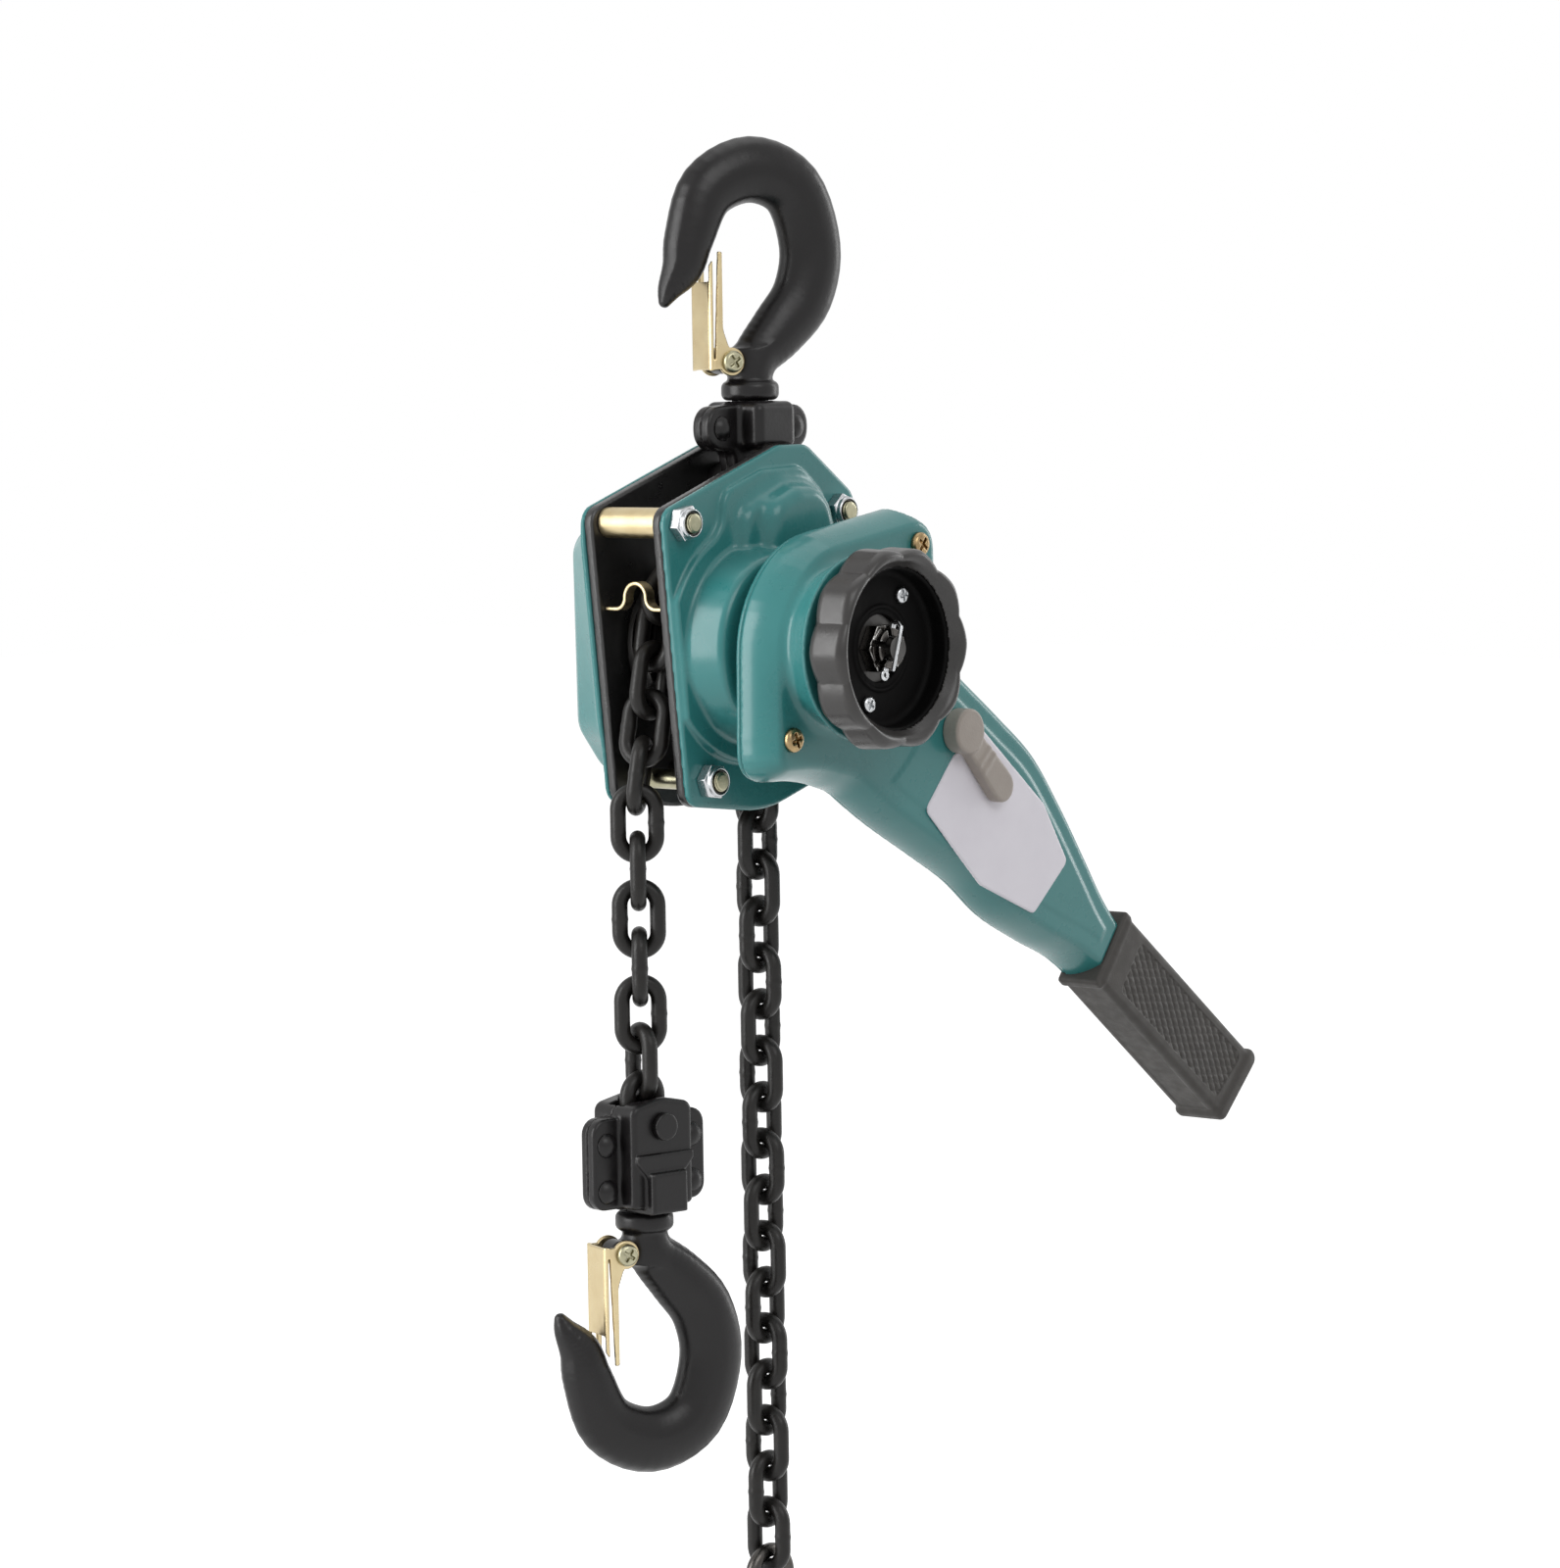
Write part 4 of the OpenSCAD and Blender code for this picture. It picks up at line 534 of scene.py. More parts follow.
def make_camera():
    a, e, roll = CAMERA_AZIMUTH, CAMERA_ELEVATION, CAMERA_ROLL
    back = Vector((math.sin(a) * math.cos(e), -math.cos(a) * math.cos(e), math.sin(e)))
    level = Vector((math.cos(a), math.sin(a), 0))
    rise = back.cross(level)
    right = level * math.cos(roll) + rise * math.sin(roll)
    up = rise * math.cos(roll) - level * math.sin(roll)
    focal = FOCAL_SHARE * CAMERA_DISTANCE
    over = (AXIS_PIXEL[0] - IMAGE_W / 2) / focal * CAMERA_DISTANCE
    above = (IMAGE_H / 2 - AXIS_PIXEL[1]) / focal * CAMERA_DISTANCE
    place = (AXIS - right * over - up * above + back * CAMERA_DISTANCE) * MM
    camera = bpy.data.objects.new("camera", bpy.data.cameras.new("camera"))
    bpy.context.scene.collection.objects.link(camera)
    camera.matrix_world = Matrix.Translation(place) @ Matrix((right, up, back)).transposed().to_4x4()
    camera.data.sensor_width = SENSOR
    camera.data.lens = focal / IMAGE_H * SENSOR
    camera.data.clip_start, camera.data.clip_end = 0.05, 60
    bpy.context.scene.camera = camera


def seen_directly(tree):
    """1 for rays from the camera, off gloss or through glass, else 0."""
    path = tree.nodes.new("ShaderNodeLightPath")
    first = tree.nodes.new("ShaderNodeMath")
    second = tree.nodes.new("ShaderNodeMath")
    first.operation = second.operation = "MAXIMUM"
    tree.links.new(path.outputs["Is Camera Ray"], first.inputs[0])
    tree.links.new(path.outputs["Is Glossy Ray"], first.inputs[1])
    tree.links.new(first.outputs["Value"], second.inputs[0])
    tree.links.new(path.outputs["Is Transmission Ray"], second.inputs[1])
    return second.outputs["Value"]


def make_world(level):
    world = bpy.data.worlds.new("studio")
    bpy.context.scene.world = world
    world.use_nodes = True
    tree = world.node_tree
    light = tree.nodes["Background"]
    light.inputs["Color"].default_value = (1, 1, 1, 1)
    light.inputs["Strength"].default_value = level
    white = tree.nodes.new("ShaderNodeBackground")
    white.inputs["Color"].default_value = (1, 1, 1, 1)
    white.inputs["Strength"].default_value = 1.0
    mix = tree.nodes.new("ShaderNodeMixShader")
    tree.links.new(seen_directly(tree), mix.inputs["Fac"])
    tree.links.new(light.outputs["Background"], mix.inputs[1])
    tree.links.new(white.outputs["Background"], mix.inputs[2])
    tree.links.new(mix.outputs["Shader"], tree.nodes["World Output"].inputs["Surface"])


def make_floor():
    half, drop = 6.0, 0.05
    z = CAD_BOX[0].z - drop
    corners = [(-half, -half, z), (half, -half, z), (half, half, z), (-half, half, z)]
    mesh = bpy.data.meshes.new("floor")
    mesh.from_pydata(corners, [], [(0, 1, 2, 3)])
    floor = bpy.data.objects.new("floor", mesh)
    bpy.context.scene.collection.objects.link(floor)
    material = bpy.data.materials.new("floor")
    material.use_nodes = True
    tree = material.node_tree
    shader = tree.nodes["Principled BSDF"]
    shader.inputs["Base Color"].default_value = (0.6, 0.6, 0.6, 1)
    shader.inputs["Roughness"].default_value = 1.0
    shader.inputs["Specular IOR Level"].default_value = 0.0
    shader.inputs["Emission Color"].default_value = (1, 1, 1, 1)
    level = tree.nodes.new("ShaderNodeMath")
    level.operation = "MULTIPLY"
    level.inputs[1].default_value = 0.78
    tree.links.new(seen_directly(tree), level.inputs[0])
    tree.links.new(level.outputs["Value"], shader.inputs["Emission Strength"])
    mesh.materials.append(material)


def area_lamp(name, place, width, height, radiance):
    """Soft box at place (metres from the drive axis), aimed at the middle of the hoist."""
    lamp = bpy.data.lights.new(name, "AREA")
    lamp.shape = "RECTANGLE"
    lamp.size, lamp.size_y = width, height
    lamp.energy = radiance * math.pi * width * height
    light = bpy.data.objects.new(name, lamp)
    bpy.context.scene.collection.objects.link(light)
    target = AXIS * MM + Vector((0, 0, -0.08))
    light.location = AXIS * MM + Vector(place)
    light.rotation_mode = "QUATERNION"
    light.rotation_quaternion = (target - light.location).to_track_quat("-Z", "Y")


make_camera()
bpy.context.scene.view_settings.view_transform = "Standard"
make_world(0.45)
make_floor()
area_lamp("left_panel", (-1.75, 0.85, 0.4), 1.05, 2.1, 5.5)
area_lamp("front_key", (-0.5, -1.7, 1.3), 1.3, 1.0, 2.6)
area_lamp("top_fill", (0.4, 0.1, 1.9), 1.4, 1.4, 0.8)
area_lamp("right_fill", (1.75, -0.58, 0.3), 0.35, 1.3, 4.5)


# ---------------- frame and covers ----------------

plate_field = soft_outline(PLATE_CORNERS)


def plate(y0, y1):
    return lambda x, y, z: slab(plate_field(x, z), y, y0, y1, 0.7)


def make_plates():
    low, high = (PLATE_L, 0, -PLATE_DROP), (PLATE_R, 0, PLATE_TOP)
    for side, y0, y1 in (("front", -PLATE_OUT, -PLATE_IN), ("rear", PLATE_IN, PLATE_OUT)):
        points, faces = net(plate(y0, y1), (low[0], y0, low[2]), (high[0], y1, high[2]), 0.9)
        mesh_piece("plate_" + side, "hoist_frame", "plate", ["side_plate_" + side], points, faces)


# How far the brake cover's forms stand in front of its flange
TERRACE_UP, STEP_UP, NOSE_UP, NOSE_DRAFT = 2.5, 7, 13, 0.3
NOSE_R = STAYS[1][0] - 8
TERRACE = soft_outline([(-16, 34, 8), (-14, 57.5, 9), (8, 65, 12),
                        (PIN_X + 2, 66, 12), (NOSE_R, 54, 10), (NOSE_R, 34, 8)])
STEP = soft_outline([(-9, 26, 6), (-6, 50, 8), (6, 56, 8), (14, 48, 6), (14, 26, 6)])
NOSE = soft_outline([(2, 26, 6), (4, 52, 9), (18, 57.5, 12),
                     (PIN_X + 5, 57, 12), (PIN_X + 10, 43, 12), (PIN_X + 10, 26, 6)])


def brake_cover_solid(x, y, z):
    """The pressed cover as if it were solid and went on behind the plate."""
    r = np.hypot(x, z)
    edge = plate_field(x, z)
    flange = both(edge, FLANGE_Y - y, 1.3)
    ring = np.maximum(r - DOME_R - 6.5, edge + 0.8)
    terrace = both(melt(TERRACE(x, z), ring, 8), FLANGE_Y - TERRACE_UP - y, 1.5)
    solid = melt(flange, terrace, 1.6)
    step = both(STEP(x, z), FLANGE_Y - STEP_UP - y, 3.4)
    draft = NOSE_DRAFT * (y - FLANGE_Y + NOSE_UP)
    nose = both((NOSE(x, z) - draft) * 0.96, FLANGE_Y - NOSE_UP - y, 4.4)
    solid = melt(solid, melt(step, nose, 3), 5)
    dome = both((r - DOME_R - (y + PLATE_OUT) * 4 / 21) * 0.98, DOME_Y - y, 3)
    return melt(solid, dome, 2.2)


def brake_cover(x, y, z):
    solid = brake_cover_solid(x, y, z)
    shell = np.maximum(np.maximum(solid, y + PLATE_OUT), -(solid + WALL + 0.1))
    boss = rod(x, y, z, COVER_BOSS_R, COVER_BOSS_Y, DOME_Y + 1, 0.8)
    return carve(melt(shell, boss, 1.5), rod(x, y, z, COVER_BORE_R, -60, DOME_Y + 5))


GEAR_BASE = soft_outline([(-43, 45, 9), (-34.5, -33, 16), (-13, -53, 14), (13, -51, 14),
                          (42, -20, 12), (42, 24, 12), (13, 52, 14), (-13, 54, 20)])
GEAR_TOP = soft_outline([(-27, 38, 10), (-26, -32, 12), (-12, -49.5, 12), (12, -49.5, 12),
                         (25, -36, 10), (25, 36, 10), (12, 49.5, 12), (-12, 49.5, 12)])


def gear_cover_solid(x, y, z):
    depth = np.clip((y - PLATE_OUT - GEAR_FLANGE) / 21, 0, 1)
    pan = both((GEAR_BASE(x, z) * (1 - depth) + GEAR_TOP(x, z) * depth) * 0.85, y - GEAR_COVER_Y, 6)
    flange = both(plate_field(x, z), y - PLATE_OUT - GEAR_FLANGE, 0.9)
    return melt(pan, flange, 5)


def gear_cover(x, y, z):
    solid = gear_cover_solid(x, y, z)
    return np.maximum(np.maximum(solid, PLATE_OUT - y), -(solid + WALL))


def make_covers():
    for name, field, y0, y1, step in (("brake", brake_cover, COVER_BOSS_Y, -PLATE_OUT, 0.8),
                                      ("gear", gear_cover, PLATE_OUT, GEAR_COVER_Y, 0.9)):
        points, faces = net(field, (PLATE_L, y0, -PLATE_DROP), (PLATE_R, y1, PLATE_TOP), step)
        mesh_piece(name + "_housing", "hoist_frame", "teal", [name + "_cover"], points, faces)


NUT_FLATS, NUT_H, BOLT_PAST = 12.0, 6.5, 1.2


def nut(x, y, z):
    """Nylon-insert nut on the plane y = 0, facing -Y."""
    body = slab(hexagon(x, z, NUT_FLATS), y, -4.4, 0, 0.3)
    r = np.hypot(x, z)
    cone = (r - NUT_FLATS * 0.56 - (y + 4.4) * 0.9) * 0.74
    back = (r - NUT_FLATS * 0.56 + y * 0.9 + 0.3) * 0.74
    body = np.maximum(np.maximum(body, cone), back)
    collar = both(r - NUT_FLATS * 0.46, np.abs(y + NUT_H / 2) - NUT_H / 2, 0.8)
    solid = carve(melt(body, collar, 0.5), np.maximum(r - 4.7, y + NUT_H - 1.6), 0.2)
    return carve(solid, r - STAY_R - 0.15, 0.3)


def insert_ring(x, y, z):
    """Dark nylon ring in the mouth of the nut."""
    r = np.hypot(x, z)
    return both(np.abs(r - STAY_R - 0.55) - 0.5, np.abs(y + NUT_H - 1.4) - 0.7, 0.2)


def bolt_end(x, y, z):
    """Threaded end of a stay bolt through a nut on the plane y = 0, facing -Y."""
    r = np.hypot(x, z)
    groove = 0.22 * np.cos(2 * math.pi * y / 1.25 + np.arctan2(z, x))
    return both((r - STAY_R + 0.22 + groove) * 0.8, -NUT_H - BOLT_PAST - y, 0.7) + np.maximum(y - 1, 0)


def make_fastenings():
    one = round_net(nut, 7, -NUT_H, 0, 0.3)
    ring = round_net(insert_ring, 5, -NUT_H, 0, 0.3)
    end = round_net(lambda x, y, z: np.maximum(bolt_end(x, y, z), y - 1), 4, -NUT_H - BOLT_PAST, 1, 0.3)
    back = PLATE_OUT - 0.3
    shank = round_net(lambda x, y, z: rod(x, y, z, STAY_R, -PLATE_OUT, back), 4, -PLATE_OUT, back, 0.8)
    nuts, rings, bolts = [], [], []
    for (x, z), turn in zip(STAYS, (12, 40, -8, 25)):
        front = shift(x, FLANGE_Y, z) @ about_y(math.radians(turn))
        nuts.append(moved(one, front))
        rings.append(moved(ring, front))
        bolts += [moved(end, front), moved(shank, shift(x, 0, z))]
    mesh_piece("nuts", "hoist_frame", "zinc", ["stay_nuts"], *joined(nuts))
    mesh_piece("insert_rings", "hoist_frame", "wheel", [], *joined(rings))
    mesh_piece("bolts", "hoist_frame", "bolt", ["stay_bolts"], *joined(bolts))
    sleeve = round_net(lambda x, y, z: carve(rod(x, y, z, SLEEVE_R, -PLATE_IN, PLATE_IN, 0.5),
                                             np.hypot(x, z) - STAY_R), 6, -PLATE_IN, PLATE_IN, 0.5)
    sleeves = [moved(sleeve, shift(x, 0, z)) for x, z in STAYS[:2]]
    mesh_piece("sleeves", "hoist_frame", "gold", ["stay_sleeves"], *joined(sleeves))


COVER_SCREWS = [(-6, 59.5), (50, 20), (46, -30)]


def make_gear_screws():
    one = moved(screw(3.6, 2.4, 0.4, 6.0), MIRROR_Y)
    parts = [moved(one, shift(x, PLATE_OUT + GEAR_FLANGE, z)) for x, z in COVER_SCREWS]
    mesh_piece("gear_screws", "hoist_frame", "zinc", ["gear_cover_screws"], *joined(parts))


GUIDE_X, GUIDE_Z, GUIDE_DEPTH, GUIDE_T = -38.5, 18.8, 5.0, 1.4
GUIDE_ARCH, GUIDE_FLARE = 5.2, 4.4


def chain_guide(x, y, z):
    """Strip from plate to plate: an arch over the chain whose sides flare out to two feet."""
    side = np.abs(y)
    foot = GUIDE_ARCH + GUIDE_FLARE
    arch = np.abs(np.hypot(side, z) - GUIDE_ARCH)
    flare = np.abs(np.hypot(side - foot, z) - GUIDE_FLARE)
    flat = np.abs(z + GUIDE_FLARE)
    middle = np.where(z > 0, arch, np.where(side < foot, flare, flat))
    strip = np.maximum(middle - GUIDE_T / 2, np.where(z > 0, side - foot, side - PLATE_IN))
    return both(strip, span(x, 0, GUIDE_DEPTH), 0.35)


def make_guide():
    low, high = (0, -PLATE_IN, -GUIDE_FLARE - 1), (GUIDE_DEPTH, PLATE_IN, GUIDE_ARCH + 1)
    part = moved(net(chain_guide, low, high, 0.35), shift(GUIDE_X, 0, GUIDE_Z))
    mesh_piece("guide_strip", "hoist_frame", "gold", ["chain_guide"], *part)


# ---------------- chain ----------------

WIRE_R, LINK_IN_L, LINK_IN_W, LINK_PLAY, SWING_PLAY = 3.0, 18.4, 8.2, 0.4, 0.2
PITCH = LINK_IN_L - LINK_PLAY
BEND_R = (LINK_IN_W + 2 * WIRE_R) / 2
STRAIGHT = LINK_IN_L + 2 * WIRE_R - 2 * BEND_R
SHEAVE_LINKS, ENTRY_LINKS, LOAD_LINKS, TAIL_LINKS = 5, 3, 7, 17
LINK_STEP, REST_PHASE = math.radians(36), math.radians(7)
FLAT_L = LINK_IN_L + 2 * WIRE_R
UPRIGHT_L = 2 * PITCH - FLAT_L
PIVOT_R = math.sqrt(FLAT_L ** 2 + UPRIGHT_L ** 2
                    + 2 * FLAT_L * UPRIGHT_L * math.cos(LINK_STEP)) / 2 / math.sin(LINK_STEP)
FLAT_HALF = math.asin(FLAT_L / 2 / PIVOT_R)
CHORDS = (PIVOT_R * math.cos(FLAT_HALF), PIVOT_R * math.cos(LINK_STEP - FLAT_HALF))
RIGHT_A = REST_PHASE + LINK_STEP / 2 - FLAT_HALF
LEFT_A = math.pi + REST_PHASE - LINK_STEP / 2 + FLAT_HALF
LEFT_X, LEFT_Z = PIVOT_R * math.cos(LEFT_A), PIVOT_R * math.sin(LEFT_A)
RIGHT_X, RIGHT_Z = PIVOT_R * math.cos(RIGHT_A), PIVOT_R * math.sin(RIGHT_A)
ENTRY_L = UPRIGHT_L / 2 + (ENTRY_LINKS - 0.5) * PITCH
LOAD_X = 39.2
LEAN = math.asin((LOAD_X + LEFT_X) / ENTRY_L)
LOAD_TOP = LEFT_Z - ENTRY_L * math.cos(LEAN) + SWING_PLAY
ANCHOR_Z = LOAD_TOP - LOAD_LINKS * PITCH
BLOCK_HIGH, BLOCK_LOW = ANCHOR_Z + 14, ANCHOR_Z - 28.5
TAIL_END = RIGHT_Z - ENTRY_L - TAIL_LINKS * PITCH
RING_R, RING_WIRE = 10.5, 2.8


def link_turn(k, twisted):
    """Turn of link k about the chain: a quarter turn each, and the load run's twist."""
    twist = (min(16 * (k - 1), 42) if k < 8 else 42 + 13.2 * (k - 7)) if twisted else 0
    return math.radians(90 * (k + 1) + twist)


BLOCK_TURN = link_turn(ENTRY_LINKS + LOAD_LINKS, True) % math.pi - math.pi


def link():
    """One link along Z in the X-Z plane, with the slight swelling of its weld."""
    arc, straight = 22, 12
    path, radius = [], []
    for end in (1, -1):
        for k in range(arc + 1):
            a = math.pi * k / arc + (0 if end > 0 else math.pi)
            path.append((BEND_R * math.cos(a), 0, BEND_R * math.sin(a) + end * STRAIGHT / 2))
            radius.append(WIRE_R)
        for k in range(1, straight):
            z = end * STRAIGHT * (0.5 - k / straight)
            path.append((-end * BEND_R, 0, z))
            radius.append(WIRE_R + (0.22 * math.exp(-(z / 0.9) ** 2) if end > 0 else 0))
    return tube(path, radius, 20)


def make_chain():
    one = link()

    def spin(angle):
        return Matrix.Rotation(angle, 4, "Z")

    def hanging(place, numbers, twisted):
        """Links along a straight run; place is the middle of link number 0, a pitch apart."""
        return [moved(one, place @ shift(0, 0, -PITCH * k) @ spin(link_turn(k, twisted))) for k in numbers]

    first = shift(LEFT_X, 0, LEFT_Z) @ Matrix.Rotation(LEAN, 4, "Y") @ shift(0, 0, PITCH - UPRIGHT_L / 2)
    below = shift(-LOAD_X, 0, LOAD_TOP + PITCH * (ENTRY_LINKS + 0.5))
    right = shift(RIGHT_X, 0, RIGHT_Z - UPRIGHT_L / 2 + PITCH)
    entry = hanging(first, range(1, ENTRY_LINKS + 1), True)
    run = hanging(below, range(ENTRY_LINKS + 1, ENTRY_LINKS + LOAD_LINKS + 1), True)
    tail = hanging(right, range(1, ENTRY_LINKS + TAIL_LINKS + 1), False)
    bent = [moved(one, about_y(REST_PHASE + LINK_STEP * (k + 0.5)) @ shift(CHORDS[k % 2], 0, 0)
                  @ spin(link_turn(k, False))) for k in range(SHEAVE_LINKS)]
    for name, body, links in (("entry_links", "load_chain_entry", entry), ("load_links", "load_chain", run),
                              ("tail_entry_links", "tail_chain_entry", tail[:ENTRY_LINKS]),
                              ("tail_links", "tail_chain", tail[ENTRY_LINKS:])):
        mesh_piece(name, body, "chain", [body], *joined(links))
    mesh_piece("sheave_links", "load_sheave", "chain", ["chain_on_sheave"], *joined(bent))
    turn = np.linspace(0, 2 * math.pi, 49)[:-1]
    path = np.stack([RING_R * np.cos(turn), 0 * turn, RING_R * np.sin(turn)], 1)
    ring = tube(path, np.full(len(path), RING_WIRE), 20)
    mesh_piece("end_ring", "tail_chain", "nut", ["chain_end_stop"],
               *moved(ring, shift(RIGHT_X, 0, TAIL_END + RING_WIRE + 0.1 - RING_R)))


# ---------------- hooks ----------------

BOWL_R, BOWL_X, BOWL_Z, HOOK_NECK = 13.0, 1.5, 152.587, 54.387
COLLAR_R, COLLAR_H, SHANK_R, STEM_R = 11.0, 7.4, 8.0, 7.0
YOKE_BOTTOM, YOKE_TOP = 72.6, 90.4
HALF_T = 9.0
# From the tip round the bowl to the neck: angle about the bowl's centre, distance of the inner
# face beyond the bowl's radius, half width, half thickness
HOOK_STATIONS = [
    (212.5, 28.7, 3, 3.4), (208.3, 21.7, 5.2, 5.4), (199.8, 10.1, 8.3, 7.6), (179.1, 3.6, 10, 8.6),
    (135.8, 1.2, 11.6, HALF_T), (90, 0, 12.6, HALF_T), (45, 0, 12.6, HALF_T), (-7.3, 0.2, 12.7, HALF_T),
    (-44.6, 5.7, 12.5, HALF_T), (-71.4, 12.2, 11.5, HALF_T), (-87.8, 22.3, 9.3, 8.6), (-91.7, 31, 7.7, 7.7)]
PIVOT_X, PIVOT_Z, PIVOT_PIN_R, LUG_T = -12.0, -47.0, 2.5, 9.0
HOOK_TURN = math.radians(-20)


def smooth(stations, steps):
    """Points on a smooth curve through the stations, as in the part."""
    s = np.array(stations, float)
    points = []
    for i in range(len(s) - 1):
        a, b, c, d = s[max(i - 1, 0)], s[i], s[i + 1], s[min(i + 2, len(s) - 1)]
        for t in np.arange(steps) / steps:
            points.append(0.5 * (2 * b + (c - a) * t + (2 * a - 5 * b + 4 * c - d) * t ** 2
                                 + (3 * b - a - 3 * c + d) * t ** 3))
    return np.array(points + [s[-1]])


def hook_curve():
    stations = []
    for angle, beyond, half_w, half_t in HOOK_STATIONS:
        r, a = BOWL_R + beyond + half_w, math.radians(angle)
        stations.append((BOWL_X + r * math.cos(a), r * math.sin(a), half_w, half_t))
    return smooth(stations, 5)


HOOK_CURVE = hook_curve()


def forged_bar(x, y, z):
    """Bar along the hook's curve: flat sides, bevels towards a blunt inner and outer rim."""
    best, across, wide, thick = None, 0, 0, 0
    for p, q in zip(HOOK_CURVE[:-1], HOOK_CURVE[1:]):
        ex, ez = q[0] - p[0], q[1] - p[1]
        t = np.clip(((x - p[0]) * ex + (z - p[1]) * ez) / (ex * ex + ez * ez), 0, 1)
        off = np.hypot(x - p[0] - ex * t, z - p[1] - ez * t)
        half_w, half_t = p[2] + (q[2] - p[2]) * t, p[3] + (q[3] - p[3]) * t
        gap = off - half_w
        if best is None:
            best, across, wide, thick = gap, off, half_w, half_t
        else:
            near = gap < best
            across, wide = np.where(near, off, across), np.where(near, half_w, wide)
            thick, best = np.where(near, half_t, thick), np.where(near, gap, best)
    side = np.abs(y)
    bevel_x, bevel_y = 0.62 * thick, 0.55 * wide
    size = np.hypot(bevel_x, bevel_y)
    bevel = ((across - 0.45 * wide) * bevel_x + (side - thick) * bevel_y) / size
    rim = both(across - wide, side - thick, 2.6)
    return both(rim, bevel, 3.0)


def hook_forging(x, y, z):
    bar = forged_bar(x, y, z)
    r = np.hypot(x, y)
    shank = np.maximum(r - SHANK_R, np.abs(z + HOOK_NECK - 3) - 9)
    solid = melt(bar, shank, 4)
    collar = both(r - COLLAR_R, span(z, -HOOK_NECK - COLLAR_H, -HOOK_NECK), 2.6)
    solid = melt(solid, collar, 1.4)
    lug = both(np.hypot(x - PIVOT_X, z - PIVOT_Z) - 4.6, np.abs(y) - LUG_T / 2, 0.8)
    web = brick(x, y, z, (PIVOT_X, -LUG_T / 2, PIVOT_Z - 4), (PIVOT_X + 8, LUG_T / 2, PIVOT_Z + 4), 0.8)
    solid = melt(solid, np.minimum(lug, web), 2.5)
    return carve(solid, np.hypot(x - PIVOT_X, z - PIVOT_Z) - PIVOT_PIN_R - 0.1, 0.2)


LATCH_W, LATCH_T, LATCH_X, LATCH_FOLD = 16.0, 1.5, -21.0, 5.5
LATCH_TOP, LATCH_LOW, WEB_TOP = -5.5, PIVOT_Z - 3, -16.8
LATCH_SIDE = soft_outline([
    (LATCH_X, LATCH_LOW, 0.8), (LATCH_X, -10.9, 0.8), (-17.2, LATCH_TOP, 0.6),
    (LATCH_X + LATCH_FOLD, LATCH_TOP, 0.8), (LATCH_X + LATCH_FOLD, -35, 8),
    (LATCH_X + LATCH_FOLD + 2.5, -42, 5), (PIVOT_X, -42.5, 3), (PIVOT_X, LATCH_LOW, 1)])


def latch(x, y, z):
    """Pressed channel: a web with two folded sides that end in eyes round the pin."""
    eye = np.hypot(x - PIVOT_X, z - PIVOT_Z) - 5.4
    side = np.minimum(LATCH_SIDE(x, z), eye)
    sheets = both(side, np.abs(np.abs(y) - LATCH_W / 2 + LATCH_T / 2) - LATCH_T / 2, 0.3)
    web = brick(x, y, z, (LATCH_X, -LATCH_W / 2, LATCH_LOW), (LATCH_X + LATCH_T, LATCH_W / 2, WEB_TOP), 0.4)
    solid = melt(sheets, web, 1.2)
    corner = np.hypot(x - LATCH_X - 1.8, np.abs(y) - LATCH_W / 2 + 1.8) - 1.8
    bend = np.where((x < LATCH_X + 1.8) & (np.abs(y) > LATCH_W / 2 - 1.8), corner, -1)
    solid = np.maximum(solid, bend)
    wide = 0.8 + 1.6 * np.clip((z - LATCH_LOW - 4) / 38, 0, 1)
    slit = np.maximum(np.abs(x - LATCH_X - 1.4 - wide / 2) - wide / 2, LATCH_LOW + 4 - z)
    solid = carve(solid, np.maximum(slit, LATCH_W / 2 - LATCH_T - 0.1 - np.abs(y)), 0.2)
    return carve(solid, np.hypot(x - PIVOT_X, z - PIVOT_Z) - PIVOT_PIN_R - 0.15, 0.2)


def latch_pin():
    """Riveted pin through the latch's eyes and the hook's lug."""
    face, head_r, tail_r = LATCH_W / 2 + 0.1, 4.2, 3.4
    head = screw(head_r, 2.5, 0.6, face, 0.28)
    r = PIVOT_PIN_R
    shank = round_net(lambda x, y, z: rod(x, y, z, r, -face, face, 0.1), r, -face, face, 0.4)
    tail = round_net(lambda x, y, z: rivet_head(x, y, z, tail_r, 1.5), tail_r, -1.5, 1, 0.3)
    tail = moved(tail, shift(0, face, 0) @ MIRROR_Y)
    return moved(joined([moved(head, shift(0, -face, 0)), shank, tail]), shift(PIVOT_X, 0, PIVOT_Z))


def stem(deep):
    """The hook's stem inside yoke or block, from the collar to a depth."""
    top, r = 1 - HOOK_NECK - COLLAR_H, STEM_R
    return net(lambda x, y, z: post(x, y, z, r, deep, top, 0.8), (-r, -r, deep), (r, r, top), 0.8)


